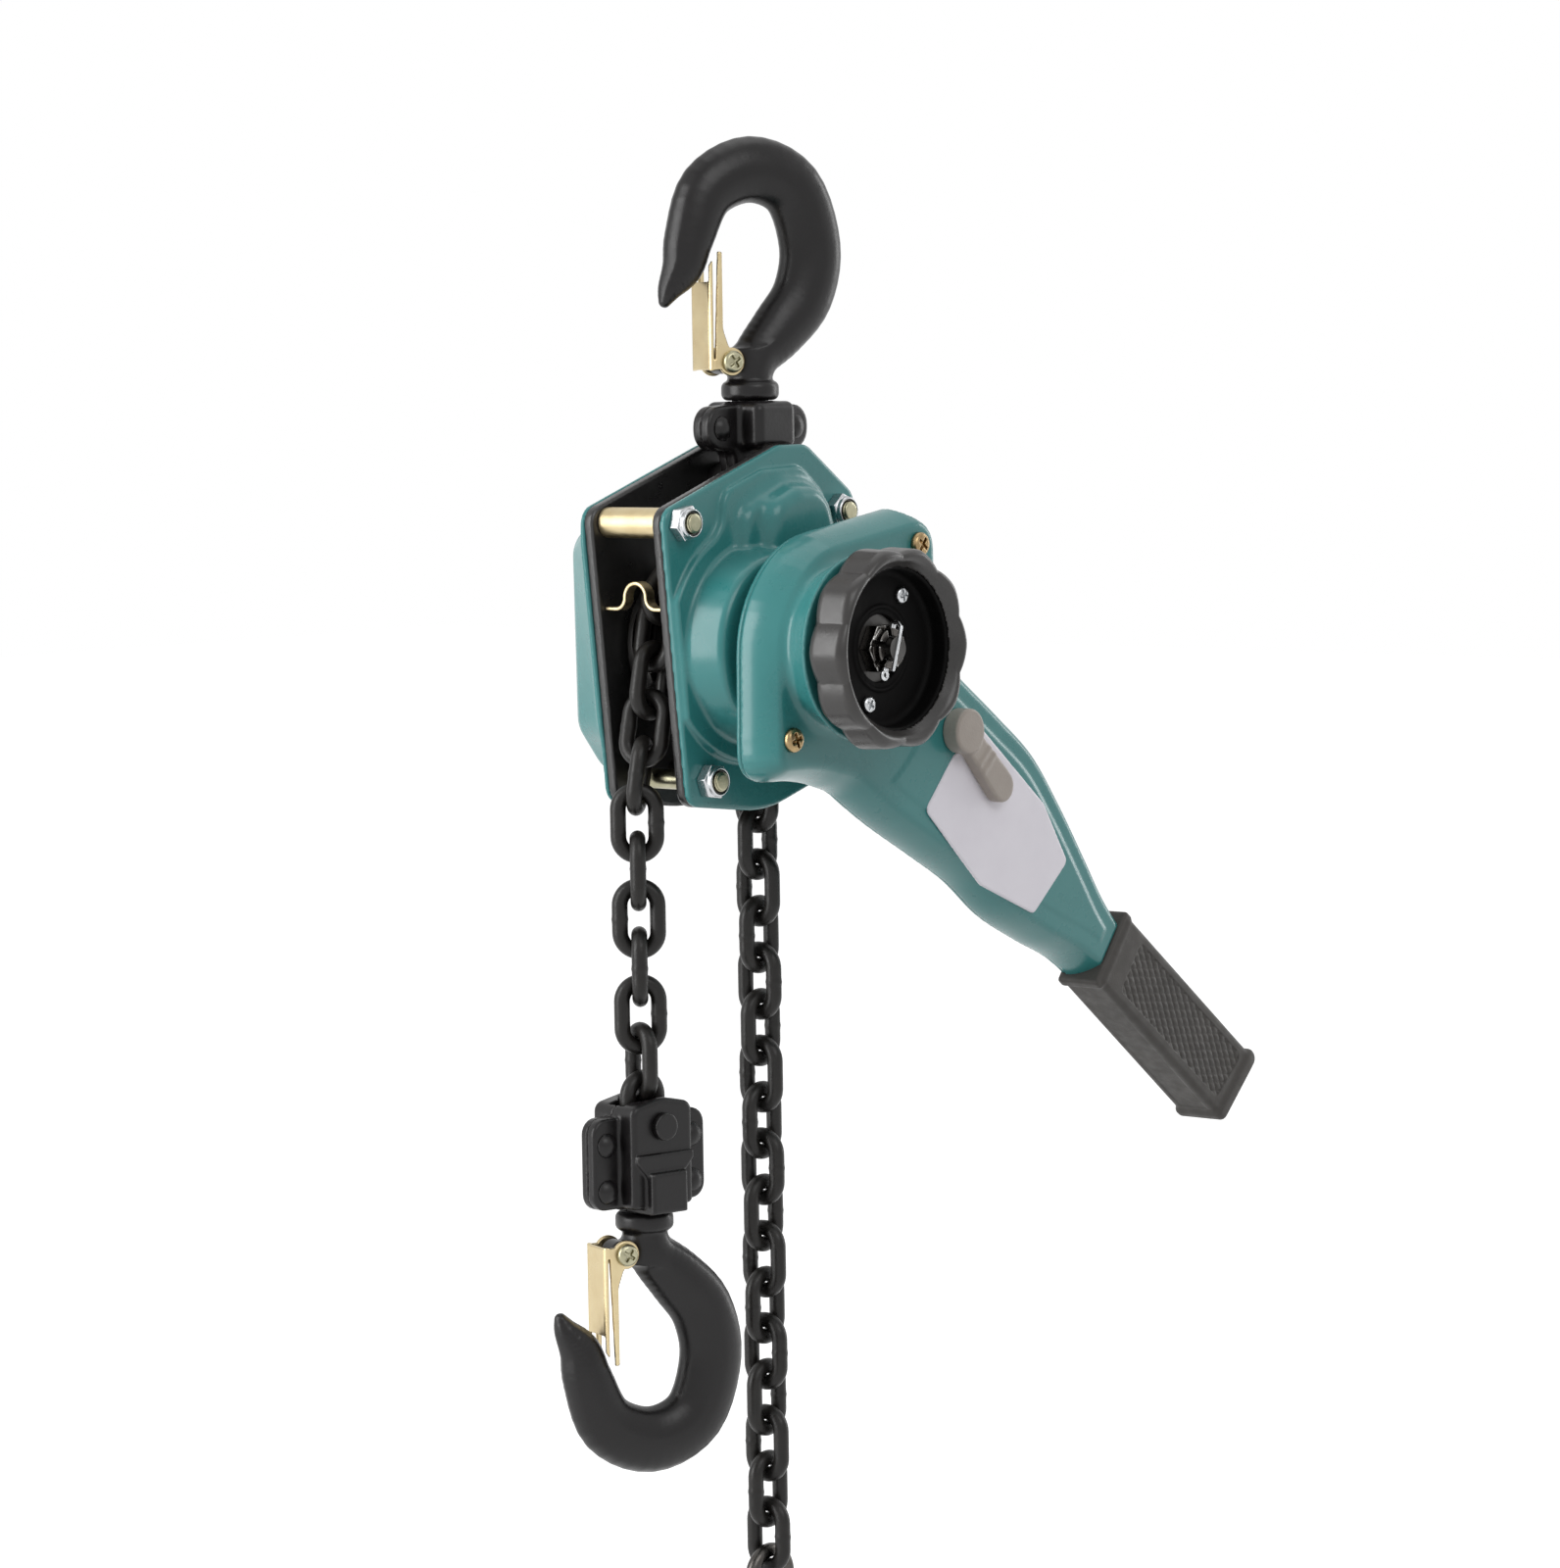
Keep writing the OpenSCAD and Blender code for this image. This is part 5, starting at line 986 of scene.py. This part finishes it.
def make_hooks():
    forging = net(hook_forging, (-42, -COLLAR_R, -HOOK_NECK - COLLAR_H), (41, COLLAR_R, 41), 0.75)
    sheet = net(latch, (LATCH_X, -LATCH_W / 2, PIVOT_Z - 5.5), (PIVOT_X + 5.5, LATCH_W / 2, LATCH_TOP), 0.42)
    pin = latch_pin()
    turn = Matrix.Rotation(HOOK_TURN, 4, "Z")
    upright = shift(PIN_X, 0, BOWL_Z) @ turn
    hanging = shift(-LOAD_X, 0, BLOCK_LOW - 0.5 - COLLAR_H - HOOK_NECK) @ turn @ MIRROR_Z
    for end, place, deep in (("top", upright, YOKE_BOTTOM + 3 - BOWL_Z),
                             ("bottom", hanging, -HOOK_NECK - COLLAR_H - 11.5)):
        mesh_piece(end + "_forged_hook", end + "_hook", "black", [end + "_hook"],
                   *moved(joined([forging, stem(deep)]), place))
        mesh_piece(end + "_pressed_latch", end + "_latch", "gold", [end + "_latch"], *moved(sheet, place))
        mesh_piece(end + "_pivot_pin", end + "_hook", "bolt", [end + "_latch_pin"], *moved(pin, place))


# ---------------- yoke, lower block ----------------

YOKE_T, EAR_X, EAR_R, EAR_Z, KEEPER_R, RIVET_H = 4.3, 21.0, 8.0, 80.5, 9.3, 2.6
YOKE = soft_outline([
    (-EAR_X - EAR_R, EAR_Z + EAR_R, EAR_R - 0.3), (-EAR_X - EAR_R, EAR_Z - EAR_R, EAR_R - 0.3),
    (-15, YOKE_BOTTOM - 1, 3), (-11, PIN_Z - 6, 6), (0, PIN_Z - 11, 8), (11, PIN_Z - 6, 6),
    (15, YOKE_BOTTOM - 1, 3), (EAR_X + EAR_R, EAR_Z - EAR_R, EAR_R - 0.3),
    (EAR_X + EAR_R, EAR_Z + EAR_R, EAR_R - 0.3), (14, YOKE_TOP - 1, 2), (-14, YOKE_TOP - 1, 2)])


def yoke_half(x, y, z):
    """Front half: a plate with two ears and a lug, and the boss that holds the hook's stem."""
    sheet = both(YOKE(x, z), -YOKE_T - y, 1.3)
    boss = brick(x, y, z, (-11.3, -14, YOKE_BOTTOM), (11.3, 14, YOKE_TOP), 3.4)
    solid = np.maximum(melt(sheet, boss, 2.6), y + 0.05)
    solid = carve(solid, post(x, y, z, KEEPER_R + 0.4, YOKE_BOTTOM + 2, YOKE_TOP - 5.6))
    return carve(solid, post(x, y, z, SHANK_R + 0.3, YOKE_TOP - 7, YOKE_TOP + 9), 0.8)


def make_yoke():
    place = shift(PIN_X, 0, 0)
    front = net(yoke_half, (-29, -14, 49), (29, 0, YOKE_TOP), 0.6)
    for side, half in (("front", front), ("rear", moved(front, MIRROR_Y))):
        mesh_piece("yoke_" + side, "top_yoke", "black", ["top_yoke_" + side], *moved(half, place))
    heads = rivet_pair(5, RIVET_H, YOKE_T)
    parts = [moved(one, place @ shift(x, 0, EAR_Z)) for x in (-EAR_X, EAR_X) for one in heads]
    mesh_piece("yoke_rivets", "top_yoke", "black", ["top_yoke_rivets"], *joined(parts))


BLOCK_W, BLOCK_D, BLOCK_NOSE, FLANGE_X, FLANGE_T = 29.0, 12.0, 4.0, 27.0, 4.0
BLOCK_SHELF = BLOCK_HIGH - 21
RIVET_X, RIVET_Z = 20.5, (BLOCK_HIGH - 16, BLOCK_LOW + 9)
BLOCK_PIN_R = LINK_IN_W / 2 - 0.2
BLOCK_PIN_Z = ANCHOR_Z + BLOCK_PIN_R
EARS = soft_outline([(-FLANGE_X, BLOCK_HIGH - 6, 6), (-FLANGE_X, BLOCK_LOW + 2, 6),
                     (FLANGE_X, BLOCK_LOW + 2, 6), (FLANGE_X, BLOCK_HIGH - 6, 6)])
FACE = soft_outline([
    (-BLOCK_W / 2, BLOCK_HIGH - 2, 4), (-BLOCK_W / 2, BLOCK_LOW + 2, 2),
    (BLOCK_W / 2, BLOCK_LOW + 2, 2), (BLOCK_W / 2, BLOCK_HIGH - 2, 4), (0, BLOCK_HIGH + 1, 14)])
LEDGE = soft_outline([
    (-13.5, BLOCK_SHELF - 2, 0.8), (-8, BLOCK_SHELF - 8, 0.8), (8, BLOCK_SHELF - 8, 0.8),
    (13.5, BLOCK_SHELF - 2, 0.8), (13.5, BLOCK_SHELF + 1, 0.8), (-13.5, BLOCK_SHELF + 1, 0.8)])


def block_half(x, y, z):
    """Front half of the lower block: ears, arched face, sloped ledge and a narrow nose below it."""
    ears = both(EARS(x, z), -FLANGE_T - y, 1.4)
    face = both(FACE(x, z), -BLOCK_D - y, 2.0)
    ledge = both(LEDGE(x, z), -BLOCK_D - 1.6 - y, 0.8)
    bar = np.maximum(np.abs(x) - 8.5, span(z, BLOCK_LOW, BLOCK_SHELF - 6))
    nose = both(bar, -BLOCK_D - BLOCK_NOSE - y, 1.2)
    solid = melt(melt(melt(ears, face, 1.8), ledge, 0.8), nose, 1.2)
    solid = np.maximum(solid, y + 0.05)
    low = ANCHOR_Z - 2 * WIRE_R - 1.2
    room = np.maximum(np.maximum(np.abs(x) - BEND_R - WIRE_R - 2.1, np.abs(y) - WIRE_R - 1.2), low - z)
    mouth = post(x, y, z, BEND_R + WIRE_R - 1, BLOCK_HIGH - 5, BLOCK_HIGH + 9)
    return carve(solid, np.minimum(room, mouth), 1.0)


def make_block():
    place = shift(-LOAD_X, 0, 0) @ Matrix.Rotation(BLOCK_TURN, 4, "Z")
    front = net(block_half, (-FLANGE_X, -BLOCK_D - BLOCK_NOSE, BLOCK_LOW), (FLANGE_X, 0, BLOCK_HIGH), 0.55)
    for side, half in (("front", front), ("rear", moved(front, MIRROR_Y))):
        mesh_piece("block_half_" + side, "hook_block", "black", ["block_" + side], *moved(half, place))
    heads = rivet_pair(4.8, RIVET_H, FLANGE_T)
    spots = [place @ shift(x, 0, z) for x in (-RIVET_X, RIVET_X) for z in RIVET_Z]
    parts = [moved(one, spot) for spot in spots for one in heads]
    mesh_piece("ear_rivets", "hook_block", "black", ["block_rivets"], *joined(parts))
    head_r, end = 5.2, BLOCK_D + 2.6
    pin = round_net(lambda x, y, z: np.minimum(rod(x, y, z, head_r, -end, -BLOCK_D, 0.5),
                                               rod(x, y, z, BLOCK_PIN_R, -BLOCK_D - 1, BLOCK_D, 0.2)),
                    head_r, -end, BLOCK_D, 0.45)
    end_nut = round_net(lambda x, y, z: slab(hexagon(x, z, 9.6, 0.2), y, BLOCK_D, end, 0.3),
                        5.6, BLOCK_D, end, 0.35)
    place = place @ shift(0, 0, BLOCK_PIN_Z)
    mesh_piece("anchor_bolt", "hook_block", "black", ["anchor_pin"], *moved(pin, place))
    mesh_piece("anchor_nut", "hook_block", "zinc", [], *moved(end_nut, place))


# ---------------- lever ----------------

LEVER_END, GRIP_START, GRIP_LOWER, GRIP_UPPER = 320.0, 213.0, -17.0, 16.0
HEAD = soft_outline([(-35.5, 15, 44), (-36.5, -49, 11), (8, -50, 14),
                     (66, -12, 18), (65, 52, 15), (-12, 40, 44)])
# Half widths of the arm (distance along the lever, above the axis, below it)
ARM = [(0, 38, 38), (72, 38.5, 33.5), (100, 39.5, 29), (124, 39.5, 25.5), (150, 33.5, 25), (176, 25.5, 20),
       (198, 18.5, 14.8), (216, 15.2, 13.6)]


def eased(u, stations, column):
    """Smooth curve through one column of a station list."""
    s = np.array(stations, float)
    t, v = s[:, 0], s[:, column]
    slope = np.gradient(v, t)
    k = np.clip(np.searchsorted(t, u) - 1, 0, len(t) - 2)
    w = t[k + 1] - t[k]
    q = np.clip((u - t[k]) / w, 0, 1)
    return ((1 + 2 * q) * (1 - q) ** 2 * v[k] + q * (1 - q) ** 2 * w * slope[k]
            + q * q * (3 - 2 * q) * v[k + 1] + q * q * (q - 1) * w * slope[k + 1])


def lever_outline(u, v):
    """Plan of the lever case; u runs along the lever and v across it."""
    c, s = math.cos(LEVER_A), math.sin(LEVER_A)
    head = HEAD(u * c - v * s, u * s + v * c)
    side = np.maximum(v - eased(u, ARM, 1), -v - eased(u, ARM, 2)) * 0.94
    arm = np.maximum(np.maximum(side, u - ARM[-1][0]), -u)
    return melt(head, arm, 12)


def case_solid(u, y, v):
    """Front shell as if it were solid: a barrelled wall, a crisp front edge, a panel and the boss."""
    plan = lever_outline(u, v)
    lean = 0.026 * np.maximum(CASE_BACK - 3 - y, 0) ** 2
    body = both((plan + lean) * 0.92, CASE_FRONT + 0.5 - y, 1.4)
    panel = both(plan + 12.5, CASE_FRONT - y, 0.8)
    r = np.hypot(u, v)
    solid = melt(body, np.maximum(panel, 62 - r), 1.0)
    rise = np.clip((CASE_FRONT - y) / (CASE_FRONT - BOSS_Y), 0, 1)
    flare = BOSS_R - BOSS_NECK + BOSS_NECK * rise ** 2
    boss = both((r - flare) * 0.85, BOSS_Y - y, 1.6)
    return melt(solid, boss, 5)


def lever_case_front(u, y, v):
    solid = case_solid(u, y, v)
    shell = np.maximum(np.maximum(solid, y - CASE_SPLIT), -(solid + WALL))
    return carve(shell, rod(u, y, v, 12.7, BOSS_Y - 1, CASE_FRONT), 0.8)


def lever_case_rear(u, y, v):
    lid = slab(lever_outline(u, v) + 0.5, y, CASE_SPLIT, CASE_BACK, 1.0)
    return carve(lid, np.hypot(u, v) - 20.1, 0.4)


GRIP = soft_outline([(GRIP_START - 1, -15.5, 2.5), (LEVER_END - 5, -17, 5),
                     (LEVER_END, 15, 6), (GRIP_START - 1, 16, 2.5)])
GRIP_FOOT = soft_outline([(LEVER_END - 10, -18, 2), (LEVER_END - 3.5, -18, 3.5),
                          (LEVER_END + 1, 15.5, 4), (LEVER_END - 6, 17, 2.5)])
GRIP_RIM = soft_outline([(GRIP_START - 3, -17, 1.5), (GRIP_START + 2, -17, 1.5),
                         (GRIP_START + 2, 17, 1.5), (GRIP_START - 3, 17, 1.5)])
KNURL = soft_outline([(GRIP_START + 12, -11, 2), (LEVER_END - 14, -12, 2),
                      (LEVER_END - 9.5, 10.5, 3), (GRIP_START + 12, 11.5, 2)])
GRIP_MID, GRIP_HALF = (CASE_BACK + CASE_FRONT) / 2, 11.5
KNURL_PITCH, KNURL_DEPTH, KNURL_LEAN = 3.3, 0.55, 0.62


def lever_grip(u, y, v):
    """Rubber grip: rounded bar with rims, a sunk diamond field in front and a shallow one on each side."""
    side = np.abs(y - GRIP_MID)
    body = both(GRIP(u, v), side - GRIP_HALF + 0.9, 2.6)
    rim = both(GRIP_RIM(u, v), side - GRIP_HALF + 1.6, 1.2)
    foot = both(GRIP_FOOT(u, v), side - GRIP_HALF, 2.2)
    solid = melt(melt(body, rim, 1.6), foot, 2.2)
    wave = (np.abs(np.sin(math.pi * (u * KNURL_LEAN + v) / KNURL_PITCH / 1.18))
            * np.abs(np.sin(math.pi * (u * KNURL_LEAN - v) / KNURL_PITCH / 1.18)))
    field = KNURL(u, v)
    sunk = 0.9 - KNURL_DEPTH * 1.5 * np.sqrt(wave)
    solid = np.maximum(solid, -np.maximum(field, GRIP_HALF - 0.9 - sunk - side))
    edge = np.maximum(np.abs(u - (GRIP_START + LEVER_END) / 2) - 41, side - 6.5)
    across = np.minimum(np.abs(v - GRIP_LOWER + 0.6 - 0.006 * (LEVER_END - u)), np.abs(v - GRIP_UPPER))
    groove = np.maximum(edge, across - 0.9)
    return carve(solid, groove, 0.8)


LABEL = soft_outline([(80, -20, 3), (125, -25, 6), (160, -16, 3), (166, 12, 3),
                      (140, 22, 6), (90, 24, 3), (82, 6, 3)])


def label_plate(u, y, v):
    return both(LABEL(u, v), np.abs(y - CASE_FRONT) - 0.5, 0.2)


KNOB_R, KNOB_H, POINTER_L = 8.6, 7.5, 31.5


def selector_knob(x, y, z):
    """Round head on the change shaft with a ribbed pointer."""
    face = CASE_FRONT - KNOB_H
    u, v = turned(x, z, POINTER_A)
    round_head = rod(x, y, z, KNOB_R, face, CASE_FRONT, 1.1)
    swell = 5.2 + 1.1 * np.clip((u - 10) / 18, 0, 1)
    bar = np.maximum(np.abs(v) - swell, -u)
    tip = np.hypot(np.maximum(u - POINTER_L, 0), v) - swell
    arm = np.where(u > POINTER_L, tip, bar)
    ribs = 0.5 * np.exp(-((u - 14.5) / 1.2) ** 2) + 0.5 * np.exp(-((u - 18.5) / 1.2) ** 2)
    lower = face + 1.6 - ribs
    pointer = both(arm, span(y, lower, CASE_FRONT - 0.4), 1.2)
    solid = melt(round_head, pointer, 2.0)
    shaft = rod(x, y, z, 4, CASE_FRONT - 1, CASE_BACK - 0.3, 0.2)
    return np.minimum(solid, shaft)


def make_lever():
    along = about_y(LEVER_A)
    for side, field, y0, y1 in (("front", lever_case_front, BOSS_Y, CASE_SPLIT),
                                ("rear", lever_case_rear, CASE_SPLIT, CASE_BACK)):
        part = moved(net(field, (-64, y0, -56), (217, y1, 66), 0.9), along)
        mesh_piece("case_" + side, "lever", "teal", ["lever_case_" + side], *part)
    box = (GRIP_START - 3, GRIP_MID - GRIP_HALF, -19), (LEVER_END + 1, GRIP_MID + GRIP_HALF, 18)
    mesh_piece("grip", "lever", "rubber", ["lever_grip"], *moved(net(lever_grip, *box, 0.5), along))
    heads = [moved(screw(4.6, 2.6, turn, 17.5), shift(x, CASE_FRONT + 0.3, z))
             for (x, z), turn in zip([(-25, -33), (50, 36)], (0.35, 0.9))]
    mesh_piece("case_screws", "lever", "bronze_screw", ["lever_screws"], *joined(heads))
    plate = net(label_plate, (79, CASE_FRONT - 0.5, -27), (168, CASE_FRONT + 0.5, 25), 0.5)
    mesh_piece("blank_label", "lever", "label", ["label_plate"], *moved(plate, along))
    knob = net(selector_knob, (-9, CASE_FRONT - KNOB_H, -30), (34, CASE_BACK, 9), 0.5)
    place = shift(SELECTOR[0], 0, SELECTOR[1])
    mesh_piece("selector", "selector", "selector", ["selector_knob"], *moved(knob, place))


# ---------------- handwheel ----------------

WHEEL_LOBES, WHEEL_WALL, CUP_FLOOR = 10, 9.0, 4.0
WHEEL_SCREWS = [(12, 19), (-8, -20.5)]
NUT_BACK, NUT_FRONT = WHEEL_BACK - 2, WHEEL_BACK - 10
SPLIT_A = math.radians(13)


def handwheel(x, y, z):
    """Rim with ten blunt corners round a deep cup."""
    r, a = np.hypot(x, z), np.arctan2(z, x)
    step = 2 * math.pi / WHEEL_LOBES
    off = np.abs((a % step) - step / 2)
    rim_r = WHEEL_R - 0.1 - 2.5 * (1 - off / (step / 2)) ** 1.5
    middle, half = (WHEEL_FRONT + WHEEL_BACK) / 2, (WHEEL_BACK - WHEEL_FRONT) / 2
    lean = (y - middle) * 0.05
    solid = both((r - rim_r - lean) * 0.96, np.abs(y - middle) - half, 4.0)
    mouth = 0.75 * np.maximum(WHEEL_FRONT + 6 - y, 0)
    cup = both((r - WHEEL_R + WHEEL_WALL - mouth) * 0.8, y - (WHEEL_BACK - CUP_FLOOR), 2.0)
    solid = carve(solid, np.maximum(cup, WHEEL_FRONT - 6 - y), 2.0)
    ring = both(np.abs(r - 15.4) - 0.7, np.abs(y - WHEEL_BACK + CUP_FLOOR) - 0.9, 0.4)
    solid = melt(solid, ring, 0.8)
    return carve(solid, rod(x, y, z, 12.55, WHEEL_BACK - 10, WHEEL_BACK + 1), 0.3)


def painted_shade_zone(x, y, z):
    """Where the wheel's inside gets painted shade: a near-black copy of the wheel's material."""
    return np.maximum(np.hypot(x, z) - WHEEL_R + WHEEL_WALL - 2, WHEEL_FRONT + 5.2 - y)


def wheel_rim(x, y, z):
    return np.maximum(handwheel(x, y, z), 0.03 - painted_shade_zone(x, y, z))


def wheel_cup_painted_shade(x, y, z):
    return np.maximum(handwheel(x, y, z), painted_shade_zone(x, y, z) + 0.03)


def castle_nut(x, y, z):
    r = np.hypot(x, z)
    base = slab(hexagon(x, z, 17), y, NUT_BACK - 5, NUT_BACK, 0.3)
    base = np.maximum(base, (r - 9.4 - (y - NUT_BACK + 5) * 0.9) * 0.74)
    crown = slab(r - 7.6, y, NUT_FRONT, NUT_BACK - 5, 0.6)
    solid = melt(base, crown, 0.4)
    slot = None
    for k in range(3):
        across = turned(x, z, SPLIT_A + k * math.pi / 3)[0]
        one = np.maximum(np.abs(across) - 1.05, y - NUT_FRONT - 3.4)
        slot = one if slot is None else np.minimum(slot, one)
    solid = carve(solid, slot, 0.25)
    return carve(solid, r - 4.55, 0.3)


EYE_R, PIN_REACH, PIN_WIRE, PIN_OVER = 1.5, 9.6, 0.75, 4.2


def split_pin(x, y, z):
    """Folded wire along X: an eye at one end, one leg cut short, the other bent back in front."""
    eye = [(-PIN_REACH - 0.6 + EYE_R * math.cos(t), 0, EYE_R * math.sin(t))
           for t in np.linspace(0.4, 2 * math.pi - 0.4, 12)]
    short = [(PIN_REACH + 0.4, 0, -0.5)]
    long = [(-PIN_REACH + 1.5, -PIN_OVER, 0.6), (PIN_REACH - 6, -PIN_OVER - 0.2, 0.6),
            (PIN_REACH - 1.5, -PIN_OVER, 0.5), (PIN_REACH, -PIN_OVER + 1.5, 0.5), (PIN_REACH, 0, 0.5)]
    return wire(x, y, z, long + eye + short) - PIN_WIRE


def make_handwheel():
    # The inside of the cup gets the painted-shade copy of the wheel's black.
    for name, look, nodes, field in (("wheel", "wheel", ["handwheel"], wheel_rim),
                                     ("wheel_inside_painted_shade", "cup", [], wheel_cup_painted_shade)):
        mesh_piece(name, "handwheel", look, nodes, *round_net(field, WHEEL_R, WHEEL_FRONT, WHEEL_BACK, 0.6))
    screws = [moved(screw(3.3, 2.0, turn, 4.0, 0.25), shift(x, WHEEL_BACK - CUP_FLOOR, z))
              for (x, z), turn in zip(WHEEL_SCREWS, (0.2, 1.0))]
    mesh_piece("wheel_screws", "handwheel", "zinc", ["handwheel_screws"], *joined(screws))
    mesh_piece("slotted_nut", "drive_shaft", "nut", ["castle_nut"],
               *round_net(castle_nut, 10, NUT_FRONT, NUT_BACK, 0.3))
    eyed = net(split_pin, (-PIN_REACH - 3, -PIN_OVER - 1.2, -3), (PIN_REACH + 1.5, 1, 3), 0.28)
    mesh_piece("folded_pin", "drive_shaft", "zinc", ["split_pin"],
               *moved(eyed, shift(0, NUT_FRONT + 1.8, 0) @ about_y(SPLIT_A + math.pi / 3)))


make_plates()
make_covers()
make_fastenings()
make_gear_screws()
make_guide()
make_lever()
make_handwheel()
make_chain()
make_hooks()
make_yoke()
make_block()
